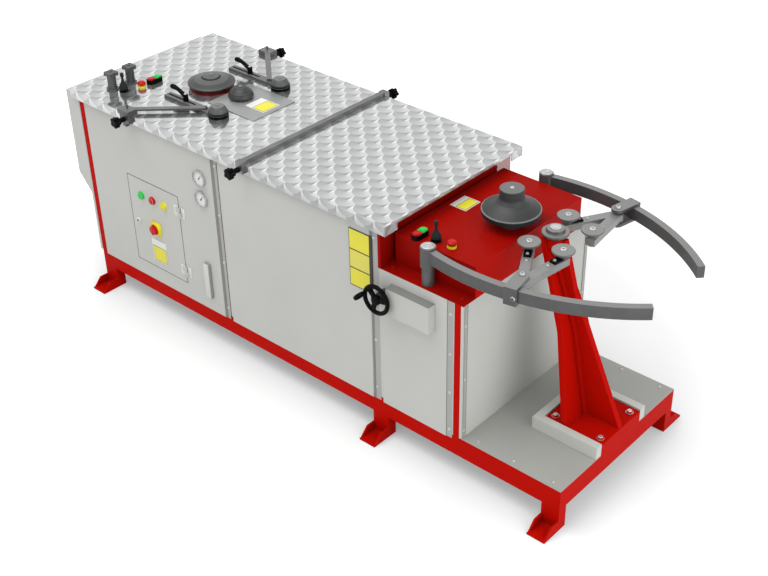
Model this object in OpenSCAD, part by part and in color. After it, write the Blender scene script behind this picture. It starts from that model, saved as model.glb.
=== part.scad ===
// Duct elbow machine: a long cabinet with a flanging station on its table
// and a seam-closing station on the lower cabinet beside it.
// X runs along the machine, Y across it with the control side at -Y, Z up, in mm.

/* [Base frame] */
// Length of the open bay beside the lower cabinet
bay_l = 457; // [420:1:500]
// Width of the base frame over its rails
frame_w = 783; // [763:5:803]
// Height of a rail
rail_h = 90; // [80:2:100]
// Width of a rail
rail_w = 60; // [50:2:70]
// Height of a leg below the rail
leg_h = 100; // [90:2:115]
// Width of a foot along the machine
foot_l = 80; // [70:2:90]
// Reach of a foot beyond the rail
foot_reach = 86; // [70:2:100]
// Height of the cheeks of a foot
cheek_h = 46; // [36:2:56]
// Width of a corner post
post_w = 50; // [44:2:54]

/* [Cabinets] */
// Length of the main cabinet
main_l = 1757; // [1740:1:1765]
// Length of the lower cabinet
side_l = 394; // [384:2:404]
// Height of the table top above the floor
table_z = 1000; // [985:5:1020]
// Drop from the table top to the deck of the lower cabinet
deck_drop = 200; // [185:5:215]
// Height of the raised box on the deck
box_h = 130; // [115:5:135]
// Width of the raised box
box_w = 654; // [620:2:664]
// Thickness of the cabinet sheet
sheet = 2.5; // [2:0.5:4]
// Bulge of the left end cover
bulge = 85; // [60:5:110]
// Width of the screw strips between the panels
strip_w = 50; // [40:2:56]

/* [Table] */
// Overhang of the table at each long side
table_over = 21; // [15:1:26]
// Overhang of the table at the right end
table_end = 56; // [46:1:60]
// Thickness of the table plate
table_t = 12; // [10:1:16]
// Height of the fascia below the table top
fascia_h = 40; // [32:2:48]

/* [Electrical door] */
// Width of the door
door_w = 338; // [300:2:360]
// Height of the door
door_h = 437; // [400:1:460]
// Depth of the electrical box behind the door
ebox_d = 180; // [140:5:220]
// Radius of a signal lamp
lamp_r = 15; // [12:0.5:18]

/* [Panel fittings] */
// Radius of a gauge
gauge_r = 36; // [30:1:42]
// Height of the sight gauge
sight_h = 175; // [140:5:200]
// Depth of the cover box on the lower cabinet
cover_d = 36; // [26:2:42]
// Radius of the handwheel at the middle of its rim
wheel_r = 56; // [50:1:62]
// Radius of the rim's round section
wheel_t = 8.5; // [6:0.5:10]
// Length of the crank grip
grip_l = 52; // [44:1:60]

/* [Flanging station] */
// Distance between the disc and the small roll
roll_gap = 187; // [182:1:210]
// Radius of the flanging disc
disc_r = 103; // [90:1:108]
// Radius of the small roll
roll_r = 55; // [45:1:58]
// Radius of a guide head
head_r = 41; // [34:1:43]
// Distance of the guide heads from the middle
head_y = 180; // [172:1:190]
// Width of a slotted bar
slotbar_w = 38; // [28:1:40]
// Thickness of a slotted bar
slotbar_t = 12; // [8:1:16]
// Length of the slot in a slotted bar
slot_l = 174; // [160:2:178]
// Width of the diagonal bar
diag_w = 24; // [18:1:32]
// Width of the cross stop bar
stop_w = 25; // [20:1:32]
// Radius over the lobes of a star knob
knob_r = 24; // [20:1:27]

/* [Seam station] */
// Distance between the cone roll and the centre roller
seam_gap = 200; // [196:1:206]
// Radius of the cone roll rim
cone_r = 113; // [100:1:115]
// Radius of the centre roller
centre_r = 52; // [44:1:54]
// Radius of a guide roller
guide_r = 43; // [36:1:45]
// Radius of a pivot post
pivot_r = 23; // [20:1:26]
// Middle radius of the curved arm
arm_r = 886; // [880:1:892]
// Width of the curved arm
arm_w = 28; // [24:1:32]
// Height of the curved arm
arm_h = 48; // [40:2:52]
// Width of a bracket bar
bar_w = 38; // [30:1:42]
// Thickness of the bracket plate
bar_t = 28; // [20:1:32]
// Half width of the pedestal foot
ped_w = 128; // [118:1:130]
// Thickness of the pedestal web
web_t = 24; // [20:1:32]

/* [Fits] */
// Running clearance of a pin in its bore, on the radius
run = 0.05; // [0.02:0.01:0.1]
// Air between two faces that pass each other
air = 0.5; // [0.4:0.1:0.8]

/* [Hidden] */
$fn = 64;

// Levels
rail_top = leg_h + rail_h;
under = table_z - table_t;
deck_z = table_z - deck_drop;
box_z = deck_z + box_h;
panel_low = rail_top - 20;

// Half widths
fy = frame_w / 2;
py = fy + sheet;
ty = fy + table_over + sheet;
by = box_w / 2;

// Ends along the machine, from the left end of the frame
x_main = main_l;
x_side = main_l + 12;
x_end = x_side + side_l;
frame_l = x_end + bay_l;
x_edge = 850;
x_gauge = x_edge - 74;
z_gauge = under - 257;
x_box = main_l + 29;
tx0 = -23;
tx1 = main_l + table_end;

// Stations
x_disc = 434;
x_roll = x_disc + roll_gap;
x_head = 676;
x_stud = 480;
x_clamp = 362;
x_stop = 1068;
x_cone = x_end - 94;
x_mid = x_cone + seam_gap;
x_pivot = x_end - 192;
y_pivot = py - 33;
arc_lead = 214;
arc_end = 90 + asin(arc_lead / arm_r) - 0.38;
x_arc = x_pivot + arc_lead;
y_arc = sqrt(arm_r * arm_r - arc_lead * arc_lead) - y_pivot;
arm_top = deck_z + 151;
arm_low = arm_top - arm_h;
tip_a = 48;
clamp_a = 78.9;
hang = 72;
x_hang = x_arc + (arm_r - hang) * cos(clamp_a);
y_hang = (arm_r - hang) * sin(clamp_a) - y_arc;
bar_z = arm_low + 38 - bar_t;
ra = [-101.3, -178.3];
rb = [25.7, -208.3];
stand_w = 133;

// Door, switch and wheel
x_door = 277;
z_door = panel_low + 76;
x_hinge = x_door + door_w + 4;
y_hinge = py + 7;
x_wheel = x_side + 26;
z_wheel = deck_z - 102;
y_wheel = py + 56;
y_tip = y_wheel + 6 + grip_l;

// Overall box
y_knob = ty + 77;
x_low = -bulge;
x_high = x_arc + (arm_r + arm_w / 2) * cos(tip_a);
cx = (x_low + x_high) / 2;
cy = (y_knob - max(y_tip, y_knob)) / 2;

module at(x = 0, y = 0, z = 0) {
    translate([x - cx, y - cy, z]) children();
}

// Cube given by its low and high corners
module box(a, b) {
    translate(a) cube([b[0] - a[0], b[1] - a[1], b[2] - a[2]]);
}

// One of two like halves: s = -1 is the control side, s = 1 the far side
module side(s) {
    if (s > 0) children();
    else mirror([0, 1, 0]) children();
}

// Hexagon or round head of a bolt, standing on z = 0
module bolt(r = 8, h = 6) {
    cylinder(r = r, h = h);
    cylinder(r = r * 1.35, h = h * 0.3);
}

// Foot under the far rail: a leg, a sole plate and two sloped cheeks
module foot(x) {
    box([x, fy - 44, 0], [x + foot_l, fy, leg_h]);
    box([x, fy - 44, 0], [x + foot_l, fy + foot_reach, 8]);
    for (i = [0, foot_l - 7])
        translate([x + i + 7, 0, 0]) rotate([0, -90, 0]) linear_extrude(7)
            polygon([[0, fy - 1], [0, fy + foot_reach], [cheek_h, fy + foot_reach / 2],
                [cheek_h, fy - 1]]);
}

// Folded rail of the frame, open to the inside, with closed ends
module rail() {
    difference() {
        box([0, fy - rail_w, leg_h], [frame_l, fy, rail_top]);
        box([6, fy - rail_w - 1, leg_h + 5], [frame_l - 6, fy - 5, rail_top - 5]);
    }
}

module rails() {
    color("firebrick") at() {
        side(-1) rail();
        side(1) rail();
    }
}

// Cross members, and the stand of the pedestal, open below
module crosses() {
    color("firebrick") at() {
        for (x = [0, main_l - 37]) difference() {
            box([x, -(fy - rail_w), leg_h], [x + rail_w, fy - rail_w, rail_top]);
            box([x + 5, -(fy - rail_w - 5), leg_h - 1], [x + rail_w - 5, fy - rail_w - 5, rail_top - 5]);
        }
        difference() {
            box([frame_l - 262, -(fy - rail_w), leg_h], [frame_l, fy - rail_w, rail_top]);
            for (y = [-1 : 1])
                box([frame_l - 254, y * (fy - rail_w) * 0.66 - 102, leg_h - 1],
                    [frame_l - 8, y * (fy - rail_w) * 0.66 + 102, rail_top - 10]);
        }
    }
}

module feet() {
    color("firebrick") at() for (x = [0, main_l - 47, frame_l - foot_l]) {
        side(-1) foot(x);
        side(1) foot(x);
    }
}

// Angle-section corner posts of the two cabinets
module post(x0, x1, z1) {
    difference() {
        box([x0, fy - post_w, rail_top], [x1, fy, z1]);
        box([x0 + 4, fy - post_w - 1, rail_top - 1], [x1 + 1, fy - 4, z1 + 1]);
    }
}

module posts() {
    color("firebrick") at() for (s = [-1, 1]) side(s) {
        post(0, post_w, under);
        translate([2 * x_end - sheet, 0, 0]) mirror([1, 0, 0])
            post(x_end, x_end + 42 - sheet, deck_z - 3);
    }
}

// Screw heads down a strip, on the control face
module strip_screws(x, z0, z1) {
    for (k = [0 : 3])
        translate([x, -fy, z0 + (z1 - z0) * k / 3]) rotate([90, 0, 0]) cylinder(r = 5, h = 2.5);
}

// Front sheet with the door opening, and the screw strip beside it
module panel_front_left() {
    color("gainsboro") at() {
        difference() {
            box([post_w - 16, -py, panel_low], [x_edge, -fy, under - 3]);
            box([x_door, -py - 1, z_door], [x_door + door_w, -fy + 1, z_door + door_h]);
        }
        box([x_edge - 1, -fy - 1, rail_top], [x_edge + strip_w, -fy, under - 3]);
        strip_screws(x_edge + strip_w / 2, panel_low + 60, under - 70);
    }
}

module panel_front_mid() {
    color("gainsboro") at() {
        box([x_edge + strip_w, -py, panel_low], [x_main - 40, -fy, under - 3]);
        box([x_main - 41, -fy - 1, rail_top], [x_main, -fy, under - 3]);
        strip_screws(x_main - 20, panel_low + 60, under - 70);
    }
}

module panel_front_right() {
    x1 = x_end - 75;
    color("gainsboro") at() {
        box([x_main, -fy - 1, rail_top], [x_side + 1, -fy, deck_z - 3]);
        box([x_side, -py, panel_low], [x1, -fy, deck_z - 3]);
        box([x1 - 1, -fy - 1, rail_top], [x1 + 33, -fy, deck_z - 3]);
        strip_screws(x1 + 16, panel_low + 40, deck_z - 60);
    }
}

// Rear sheets and the end panel of the lower cabinet
module panel_rear() {
    color("gainsboro") at() {
        box([post_w - 16, fy, panel_low], [x_main, py, under - 3]);
        box([x_main - 1, fy, panel_low], [x_end - 44, py, deck_z - 3]);
        for (x = [x_edge + strip_w / 2, x_main - 20, x_end - 60]) for (z = [-260, 0, 260])
            translate([x, py - 1, (panel_low + deck_z) / 2 + z]) rotate([-90, 0, 0]) cylinder(r = 5, h = 2);
        box([x_end - sheet, -py, rail_top + 3], [x_end, py, deck_z - 3]);
        for (s = [-1, 1]) side(s)
            box([x_end - 11, fy + 0.01, rail_top + 3], [x_end - 1, py, deck_z - 3]);
        for (z = [0 : 2]) for (y = [-py + 24, py - 24])
            translate([x_end - 1, y, panel_low + 60 + z * 240]) rotate([0, 90, 0])
                cylinder(r = 5, h = 3.5);
    }
}

// Profile of the end cover: a thin panel below and a bulge above
module cover_profile(t) {
    z = rail_top + 290;
    polygon([[1, rail_top - 10 + t], [t - 13, rail_top - 10 + t], [t - 13, z + t / 2],
        [t - bulge, z + bulge], [t - bulge, under - 14 - t], [1, under - 14 - t]]);
}

module cover_left() {
    color("gainsboro") at() difference() {
        translate([0, py, 0]) rotate([90, 0, 0]) linear_extrude(2 * py) cover_profile(0);
        translate([0, py - 3, 0]) rotate([90, 0, 0]) linear_extrude(2 * py - 6) cover_profile(3);
        box([0, -py - 1, 0], [2, py + 1, under]);
    }
}

// Red end wall of the main cabinet, the deck with its ledges and the raised box
module deck() {
    color("firebrick") at() {
        box([x_main, -py, deck_z - 3], [x_main + 14, py, under]);
        difference() {
            box([x_main, -py, deck_z - 3], [x_end, py, deck_z]);
            box([x_box + 3, -by + 3, deck_z - 4], [x_end - 3, by - 3, deck_z + 1]);
        }
        difference() {
            box([x_box, -by, deck_z - 1], [x_end, by, box_z]);
            box([x_box + 3, -by + 3, deck_z - 2], [x_end - 3, by - 3, box_z - 3]);
            translate([x_cone, 0, box_z - 4]) cylinder(r = 36, h = 6);
        }
        for (x = [x_main + 44, x_end - 36]) for (s = [-1, 1])
            translate([x, s * (by + py) / 2, deck_z - 1]) cylinder(r = 6, h = 4);
    }
}

// Table plate with its fascia and the dark wear plate
module table() {
    color("silver") at() {
        difference() {
            union() {
                box([tx0, -ty, under], [tx1, ty, table_z]);
                box([x_disc + 110, -122, table_z - 1], [x_head + 148, 122, table_z + 3]);
            }
            translate([x_disc, 0, under - 1]) cylinder(r = 32, h = 20);
            translate([x_roll, 0, under - 1]) cylinder(r = 24, h = 20);
        }
        for (s = [-1, 1]) side(s) {
            box([tx0, ty - 3, table_z - fascia_h], [tx1, ty, under + 1]);
            box([tx1 - 3, ty - 70, table_z - fascia_h], [tx1, ty, under + 1]);
        }
    }
}

// Floor sheet beside the lower cabinet, with the raised rim round the pedestal
module floor_plate() {
    x0 = frame_l - 293;
    color("silver") at() {
        difference() {
            box([x_end, -fy, rail_top], [frame_l, fy, rail_top + 3]);
            box([x0 + 2, -stand_w - 31, rail_top - 1], [frame_l + 1, stand_w + 31, rail_top + 4]);
        }
        difference() {
            box([x0, -stand_w - 33, rail_top], [frame_l, stand_w + 33, rail_top + 58]);
            box([x0 + 33, -stand_w, rail_top - 1], [frame_l + 1, stand_w, rail_top + 59]);
        }
        for (x = [x_end + 60, x_end + 228, frame_l - 50]) for (s = [-1, 1])
            translate([x, s * (fy - 26), rail_top + 2]) cylinder(r = 6, h = 5);
    }
}

// Pedestal: a bolted plate and a leaning casting with a flange, a web and a rib between them
module pedestal() {
    z0 = rail_top + 50;
    x0 = frame_l - 260;
    top = box_z + 22;
    h = top - z0;
    f0 = x0 + 96;
    f1 = x_mid - 17;
    w0 = x0 + 258;
    w1 = x_mid + 51;
    fl = [[f0, z0 - 1], [f0 + (f1 - f0) * 0.37, z0 + h * 0.52], [f1, top]];
    wb = [[w0, z0 - 1], [w0 + (w1 - w0) * 0.817, z0 + h * 0.733], [w1, top]];
    color("firebrick") at() {
        box([x0 + 0.5, 0.5 - stand_w, rail_top], [frame_l, stand_w - 0.5, z0]);
        // flange, narrower toward the top
        intersection() {
            translate([0, 140, 0]) rotate([90, 0, 0]) linear_extrude(280)
                polygon(concat(fl, [for (i = [2 : -1 : 0]) fl[i] - [22, 0]]));
            rotate([90, 0, 90]) linear_extrude(3000)
                polygon([[-ped_w, z0 - 1], [ped_w, z0 - 1], [42, top], [-42, top]]);
        }
        // rib along the corner between flange and web
        translate([0, 27, 0]) rotate([90, 0, 0]) linear_extrude(54)
            polygon(concat([for (p = fl) p + [17, 0]], [for (i = [2 : -1 : 0]) fl[i] - [4, 0]]));
        translate([0, web_t / 2, 0]) rotate([90, 0, 0]) linear_extrude(web_t)
            polygon(concat(wb, [for (i = [2 : -1 : 0]) fl[i] - [2, 0]]));
        // head that carries the centre roller
        translate([x_mid, 0, top - 34]) cylinder(r = 40, h = 34);
        translate([x_mid, 0, top - 1]) cylinder(r = 12, h = 27);
        for (x = [x0 + 28, frame_l - 28]) for (y = [33 - stand_w, stand_w - 33])
            translate([x, y, z0 - 1]) bolt(12, 11);
    }
}

// Steel parts that stand on the table and the deck: two lobed columns, the studs of the
// clamp levers and the pivot posts of the curved arms
module columns() {
    color("dimgray") {
        at(124, -295, table_z) lobe_post();
        at(130, -201, table_z) lobe_post();
        for (s = [-1, 1]) {
            at(x_stud, s * (head_y + 6), table_z) cylinder(r = 5, h = 42);
            at(x_pivot, s * y_pivot, deck_z) cylinder(r = pivot_r, h = 76);
            at(x_pivot, s * y_pivot, deck_z) cylinder(r = pivot_r - 8, h = 150);
        }
    }
}

// Spindle housings and the motor below the table
module drive_left() {
    color("firebrick") at() {
        box([x_disc - 60, -80, under - 110], [x_roll + 60, 80, under]);
        translate([x_disc, 0, under - 400]) cylinder(r = 72, h = 291);
        translate([x_disc, 0, under - 1]) cylinder(r = 31, h = table_t + 12);
        translate([x_disc, 0, table_z]) cylinder(r = disc_r - 6, h = 17);
        translate([x_disc, 0, table_z]) cylinder(r = 16, h = 45);
        translate([x_roll, 0, under - 1]) cylinder(r = 23, h = table_t + 6);
        translate([x_roll, 0, table_z + 3]) cylinder(r = roll_r - 15, h = 5);
        translate([x_roll, 0, table_z]) cylinder(r = 12, h = 48);
    }
}

// Spindle housing and motor of the cone roll, hung under the top of the raised box
module drive_right() {
    color("dimgray") at() {
        box([x_cone - 80, -90, deck_z - 60], [x_cone + 60, 90, box_z - 3]);
        translate([x_cone - 10, 0, deck_z - 330]) cylinder(r = 66, h = 271);
        translate([x_cone, 0, box_z - 4]) cylinder(r = 35, h = 14);
        translate([x_cone, 0, box_z]) cylinder(r = 50, h = 30);
        translate([x_cone, 0, box_z]) cylinder(r = 18, h = 130);
    }
}

// Switch housing with two bores for its buttons, standing on z = 0, long in y
module switch_box() {
    difference() {
        union() {
            box([-19, -20, 0], [19, 20, 20]);
            translate([0, -20, 0]) cylinder(r = 19, h = 20);
            translate([0, 20, 0]) cylinder(r = 19, h = 20);
        }
        for (y = [-18, 18]) translate([0, y, 8]) cylinder(r = 14 + run, h = 20);
    }
}

// Collar of the emergency stop, bored for its stem
module estop_base() {
    difference() {
        union() {
            cylinder(r = 15, h = 8);
            cylinder(r = 17, h = 6);
        }
        translate([0, 0, 0.5]) cylinder(r = 6 + run, h = 20);
    }
}

// Foot of a joystick: a round flange and a fork with a cross axle at z = 14
module stick_base() {
    cylinder(r = 20, h = 5);
    box([-5, -4, 0], [5, 4, 16]);
    translate([-11, 0, 14]) rotate([0, 90, 0]) cylinder(r = 4, h = 22);
}

// Column with a flange at its foot and a four-lobed cap
module lobe_post() {
    cylinder(r = 27, h = 6);
    cylinder(r = 19, h = 70);
    difference() {
        union() {
            translate([0, 0, 66]) cylinder(r = 23, h = 15);
            for (a = [45 : 90 : 315]) rotate(a) translate([22, 0, 66]) cylinder(r = 9, h = 15);
        }
        translate([0, 0, 76]) cylinder(r = 6, h = 6);
    }
}

// Fixed halves of the push button pairs, emergency stops and joysticks
module consoles() {
    color("dimgray") {
        at(205, -130, table_z) switch_box();
        at(204, -200, table_z) estop_base();
        at(177, -277, table_z) stick_base();
        at(x_box + 89, -292, box_z) switch_box();
        at(x_box + 225, -275, box_z) estop_base();
        at(x_box + 153, -277, box_z) stick_base();
    }
}

// Electrical box behind the door opening, with its switchgear on a mounting plate
module ebox() {
    x0 = x_door;
    x1 = x_door + door_w;
    z1 = z_door + door_h;
    color("gainsboro") at() {
        difference() {
            union() {
                box([x0 - 12, -fy, z_door - 12], [x1 + 12, -fy + 15, z1 + 12]);
                box([x0 + 11, -fy, z_door + 11], [x1 - 11, -fy + ebox_d, z1 - 11]);
            }
            box([x0, -fy - 1, z_door], [x1, -fy + 12, z1]);
            box([x0 + 14, -fy - 1, z_door + 14], [x1 - 14, -fy + ebox_d - 3, z1 - 14]);
        }
        box([x0 + 40, -fy + ebox_d - 14, z_door + 60], [x1 - 40, -fy + ebox_d - 2, z1 - 60]);
        for (i = [0 : 3])
            box([x0 + 60 + i * 52, -fy + ebox_d - 74, z1 - 170],
                [x0 + 102 + i * 52, -fy + ebox_d - 13, z1 - 90]);
        for (i = [0 : 1])
            box([x0 + 66 + i * 106, -fy + ebox_d - 94, z_door + 84],
                [x0 + 156 + i * 106, -fy + ebox_d - 13, z_door + 190]);
    }
}

// Two pressure gauges and the long sight gauge below them
module gauges() {
    color("white") at() {
        for (z = [z_gauge, z_gauge + 98])
            translate([x_gauge, -py, z]) rotate([90, 0, 0]) difference() {
                cylinder(r = gauge_r, h = 14);
                translate([0, 0, 11]) cylinder(r = gauge_r - 5, h = 9);
            }
        box([x_gauge - 25, -py - 14, panel_low + 70], [x_gauge + 10, -py, panel_low + 70 + sight_h]);
    }
}

// Fixed halves of the door hinges, with their pins
module hinges() {
    color("silver") at() for (z = [z_door + 65, z_door + door_h - 73]) {
        box([x_hinge, -y_hinge - 2, z - 24], [x_hinge + 14, -py, z - 1]);
        translate([x_hinge, -y_hinge, z - 24]) cylinder(r = 6, h = 23);
        translate([x_hinge, -y_hinge, z - 24]) cylinder(r = 3, h = 46);
    }
}

module cover_box() {
    color("gainsboro") at()
        box([x_side + 56, -py - cover_d, deck_z - 165], [x_end - 132, -py, deck_z - 47]);
}

// Boss and spindle of the handwheel
module wheel_boss() {
    color("dimgray") at() translate([x_wheel, -py, z_wheel]) rotate([90, 0, 0]) {
        cylinder(r = 22, h = 34);
        cylinder(r = 8, h = 64.5);
    }
}

// Blank plates: on the front panel, on the wear plate and on the raised box
module sign_plates() {
    color("gold") at() {
        box([x_main - 152, -py - 4, deck_z - 132], [x_main - 43, -py, deck_z + 122]);
        box([x_head + 15, -43, table_z + 3], [x_head + 126, 54, table_z + 4]);
        box([x_box + 24, -42, box_z], [x_box + 102, 50, box_z + 1]);
    }
}

// Door leaf with its lamps, the square switch plate, the lock and a blank label
module door() {
    color("gainsboro") at() {
        box([x_door + 1, -py, z_door + 1], [x_door + door_w - 1, -fy, z_door + door_h - 1]);
        difference() {
            box([x_door + 16, -fy - 0.1, z_door + 16],
                [x_door + door_w - 16, -fy + 14, z_door + door_h - 16]);
            box([x_door + 18, -fy, z_door + 18],
                [x_door + door_w - 18, -fy + 15, z_door + door_h - 18]);
        }
        for (i = [0 : 2])
            translate([x_door + 90 + i * 74, -py + 1, z_door + door_h - 80]) rotate([90, 0, 0]) {
                cylinder(r = lamp_r + 2, h = 5);
                cylinder(r = lamp_r, h = 16);
            }
        difference() {
            box([x_door + 133, -py - 6, z_door + 183], [x_door + 197, -py + 1, z_door + 247]);
            translate([x_door + 165, -py - 7, z_door + 215]) rotate([-90, 0, 0])
                cylinder(r = 10 + run, h = 5);
        }
        translate([x_door + 44, -py + 1, z_door + 215]) rotate([90, 0, 0]) cylinder(r = 9, h = 8);
        box([x_door + 118, -py - 1.5, z_door + 40], [x_door + 216, -py + 1, z_door + 154]);
        // moving halves of the hinges
        for (z = [z_door + 65, z_door + door_h - 73]) difference() {
            union() {
                translate([x_hinge, -y_hinge, z]) cylinder(r = 6, h = 22);
                box([x_hinge - 18, -y_hinge - 2, z], [x_hinge, -y_hinge + 1, z + 22]);
                box([x_hinge - 18, -y_hinge - 2, z], [x_hinge - 6, -py + 1, z + 22]);
            }
            translate([x_hinge, -y_hinge, z - 1]) cylinder(r = 3 + run, h = 24);
        }
    }
}

module switch_knob() {
    color("red") at(x_door + 165, -py - 2.5, z_door + 215) rotate([90, 0, 0]) {
        cylinder(r = 10, h = 5);
        translate([0, 0, 4]) cylinder(r = 20, h = 8);
        translate([-5, -20, 11]) cube([10, 40, 12]);
    }
}

// Wheel with three spokes and the pin of its grip
module handwheel() {
    color("black") at(x_wheel, -y_wheel, z_wheel) rotate([90, 0, 0]) {
        difference() {
            union() {
                rotate_extrude() translate([wheel_r, 0]) circle(r = wheel_t);
                translate([0, 0, -10]) cylinder(r = 19, h = 20);
                for (a = [12, 132, 252]) rotate(a) translate([0, -8, -4])
                    cube([wheel_r, 16, 8]);
            }
            translate([0, 0, -11]) cylinder(r = 8 + run, h = 20);
        }
        rotate(168) translate([wheel_r, 0, 0]) cylinder(r = 4, h = grip_l);
    }
}

module crank_grip() {
    color("black") at(x_wheel, -y_wheel, z_wheel) rotate([90, 0, 0]) rotate(168)
        translate([wheel_r, 0, wheel_t + air]) difference() {
            union() {
                cylinder(r = 8, h = grip_l + 6 - wheel_t - air);
                translate([0, 0, grip_l * 0.3]) cylinder(r = 10, h = grip_l * 0.5);
            }
            translate([0, 0, -1]) cylinder(r = 4 + run, h = grip_l + 2 - wheel_t);
        }
}

// Flanging disc: a shallow dome with a hub ring
module disc_left() {
    color("dimgray") at(x_disc, 0, table_z + 17 + air) rotate_extrude()
        polygon([[16 + run, 0], [disc_r - 5, 0], [disc_r, 3], [disc_r, 9], [disc_r - 3, 11],
            [disc_r * 0.7, 21], [39, 30], [37, 36], [14, 39], [0, 39], [0, 29], [16 + run, 29]]);
}

// Small roll: a bell with a flat top
module roll_left() {
    color("dimgray") at(x_roll, 0, table_z + 8 + air) rotate_extrude()
        polygon([[12 + run, 0], [roll_r - 12, 0], [roll_r - 2, 3], [roll_r, 7], [roll_r - 2, 14],
            [roll_r * 0.86, 25], [roll_r * 0.7, 35], [29, 42], [26, 46], [24, 47], [0, 47], [0, 41],
            [12 + run, 41]]);
}

// Guide slide on the far side: slotted bar, carrier of the head, diagonal bar and edge clamp
module guide() {
    z0 = table_z + air;
    s0 = x_stud - 113;
    yb = head_y + 6;
    dx = x_head - 70 - x_clamp;
    dy = (yb - 4) - (ty - 10);
    color("gray") {
        difference() {
            box([s0 - 7, yb - slotbar_w / 2, z0], [x_head - 24, yb + slotbar_w / 2, z0 + slotbar_t]);
            box([s0, yb - 5 - air, z0 - 1], [s0 + slot_l, yb + 5 + air, z0 + slotbar_t + 1]);
        }
        translate([x_head, head_y, z0]) cylinder(r = head_r + 1, h = slotbar_t);
        translate([x_head, head_y, z0]) cylinder(r = 12, h = slotbar_t + 28);
        translate([x_clamp, ty - 10, z0 + slotbar_t - 0.5]) rotate(atan2(dy, dx))
            translate([-14, -diag_w / 2, 0]) cube([norm([dx, dy]) + 14, diag_w, 9]);
        translate([x_head - 74, yb - 4, z0 + slotbar_t]) bolt(6, 12);
        // edge clamp: block, jaw before the fascia and tongue
        difference() {
            union() {
                box([x_clamp - 34, ty - 34, z0], [x_clamp + 34, ty + 17, z0 + slotbar_t + 8]);
                box([x_clamp - 22, ty + air, table_z - 34], [x_clamp + 34, ty + 17, z0 + 1]);
                box([x_clamp - 6, ty + air, table_z - 50], [x_clamp + 16, ty + 17, z0]);
            }
            translate([x_clamp + 11, ty - 1, table_z - 14]) rotate([-90, 0, 0])
                cylinder(r = 5 + run, h = 20);
        }
        translate([x_clamp, ty - 10, z0 + slotbar_t + 7]) cylinder(r = 4, h = 20);
    }
}

module guide_near() {
    at() side(-1) guide();
}

module guide_far() {
    at() side(1) guide();
}

// Guide head: a bell-shaped roller over the carrier
module head() {
    rotate_extrude() polygon([[12 + run, 0], [head_r - 6, 0], [head_r - 1, 3], [head_r, 7],
        [head_r - 2, 14], [head_r - 8, 26], [head_r - 12, 32], [head_r - 15, 35], [0, 35],
        [0, 28], [12 + run, 28]]);
}

module head_near() {
    color("gray") at(x_head, -head_y, table_z + slotbar_t + 2 * air) head();
}

module head_far() {
    color("gray") at(x_head, head_y, table_z + slotbar_t + 2 * air) head();
}

// Clamping lever on its stud, handle toward -X
module lever() {
    difference() {
        union() {
            cylinder(r = 11, h = 31);
            translate([0, 0, 23]) rotate([0, -74, 0]) cylinder(r = 6.5, h = 62);
            translate([-46, 0, 36.5]) rotate([0, -82, 0]) cylinder(r = 8, h = 36);
        }
        translate([0, 0, -1]) cylinder(r = 5 + run, h = 30);
    }
}

module lever_near() {
    color("black") at(x_stud, -head_y - 6, table_z + slotbar_t + 2 * air) lever();
}

module lever_far() {
    color("black") at(x_stud, head_y + 6, table_z + slotbar_t + 2 * air) lever();
}

// Star knob with five lobes and its screw, axis along y, head at the far side
module star_knob() {
    rotate([-90, 0, 0]) {
        cylinder(r = 5, h = 54);
        translate([0, 0, 20]) cylinder(r = 11, h = 34);
        translate([0, 0, 51]) cylinder(r = knob_r - 8, h = 25.5);
        for (a = [0 : 72 : 288]) rotate(a) translate([knob_r - 8, 0, 53]) cylinder(r = 8, h = 21);
    }
}

module knob_near() {
    color("black") at() side(-1) translate([x_clamp + 11, ty + air, table_z - 14]) star_knob();
}

module knob_far() {
    color("black") at() side(1) translate([x_clamp + 11, ty + air, table_z - 14]) star_knob();
}

// Cross stop: a bar over the whole table with a jaw at each end
module stop_bar() {
    z0 = table_z + air;
    color("gray") at() {
        box([x_stop - stop_w / 2, -ty - 10, z0], [x_stop + stop_w / 2, ty + 10, z0 + 17]);
        for (s = [-1, 1]) side(s) difference() {
            union() {
                box([x_stop - 18, ty + air, table_z - 32], [x_stop + 18, ty + 17, z0 + 17]);
                box([x_stop - 18, ty - 10, z0], [x_stop + 18, ty + 17, z0 + 17]);
            }
            translate([x_stop, ty - 1, table_z - 14]) rotate([-90, 0, 0])
                cylinder(r = 5 + run, h = 20);
        }
    }
}

module stop_knob_near() {
    color("black") at() side(-1) translate([x_stop, ty + air, table_z - 14]) star_knob();
}

module stop_knob_far() {
    color("black") at() side(1) translate([x_stop, ty + air, table_z - 14]) star_knob();
}

// Push button in its bore, its top standing proud of the housing
module button() {
    cylinder(r = 14, h = 12);
    cylinder(r = 12.5, h = 13);
}

module start_left() {
    color("green") at(205, -112, table_z + 12.5) button();
}

module stop_left() {
    color("red") at(205, -148, table_z + 12.5) button();
}

module start_right() {
    color("green") at(x_box + 89, -274, box_z + 12.5) button();
}

module stop_right() {
    color("red") at(x_box + 89, -310, box_z + 12.5) button();
}

// Mushroom of the emergency stop on its stem
module mushroom() {
    cylinder(r = 6, h = 12);
    translate([0, 0, 8]) rotate_extrude() polygon([[0, 0], [17, 0], [19, 3], [18, 9], [14, 13],
        [8, 15], [0, 15.5]]);
}

module estop_left() {
    color("red") at(204, -200, table_z + 5) mushroom();
}

module estop_right() {
    color("red") at(x_box + 225, -275, box_z + 5) mushroom();
}

// Joystick: bell, stick and knob, turning about the axle at z = 14
module stick() {
    difference() {
        rotate_extrude() polygon([[0, 11], [17, 11], [19.5, 15], [18, 24], [11, 38], [7, 46],
            [5, 60], [5, 64], [8, 67], [8, 82], [6, 84], [0, 84]]);
        box([-5 - air, -10, 10], [5 + air, 10, 21]);
        translate([-11 - air, 0, 14]) rotate([0, 90, 0]) cylinder(r = 4 + run, h = 22 + 2 * air);
        box([-11 - air, -4 - run, 10], [11 + air, 4 + run, 14]);
    }
}

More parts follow.
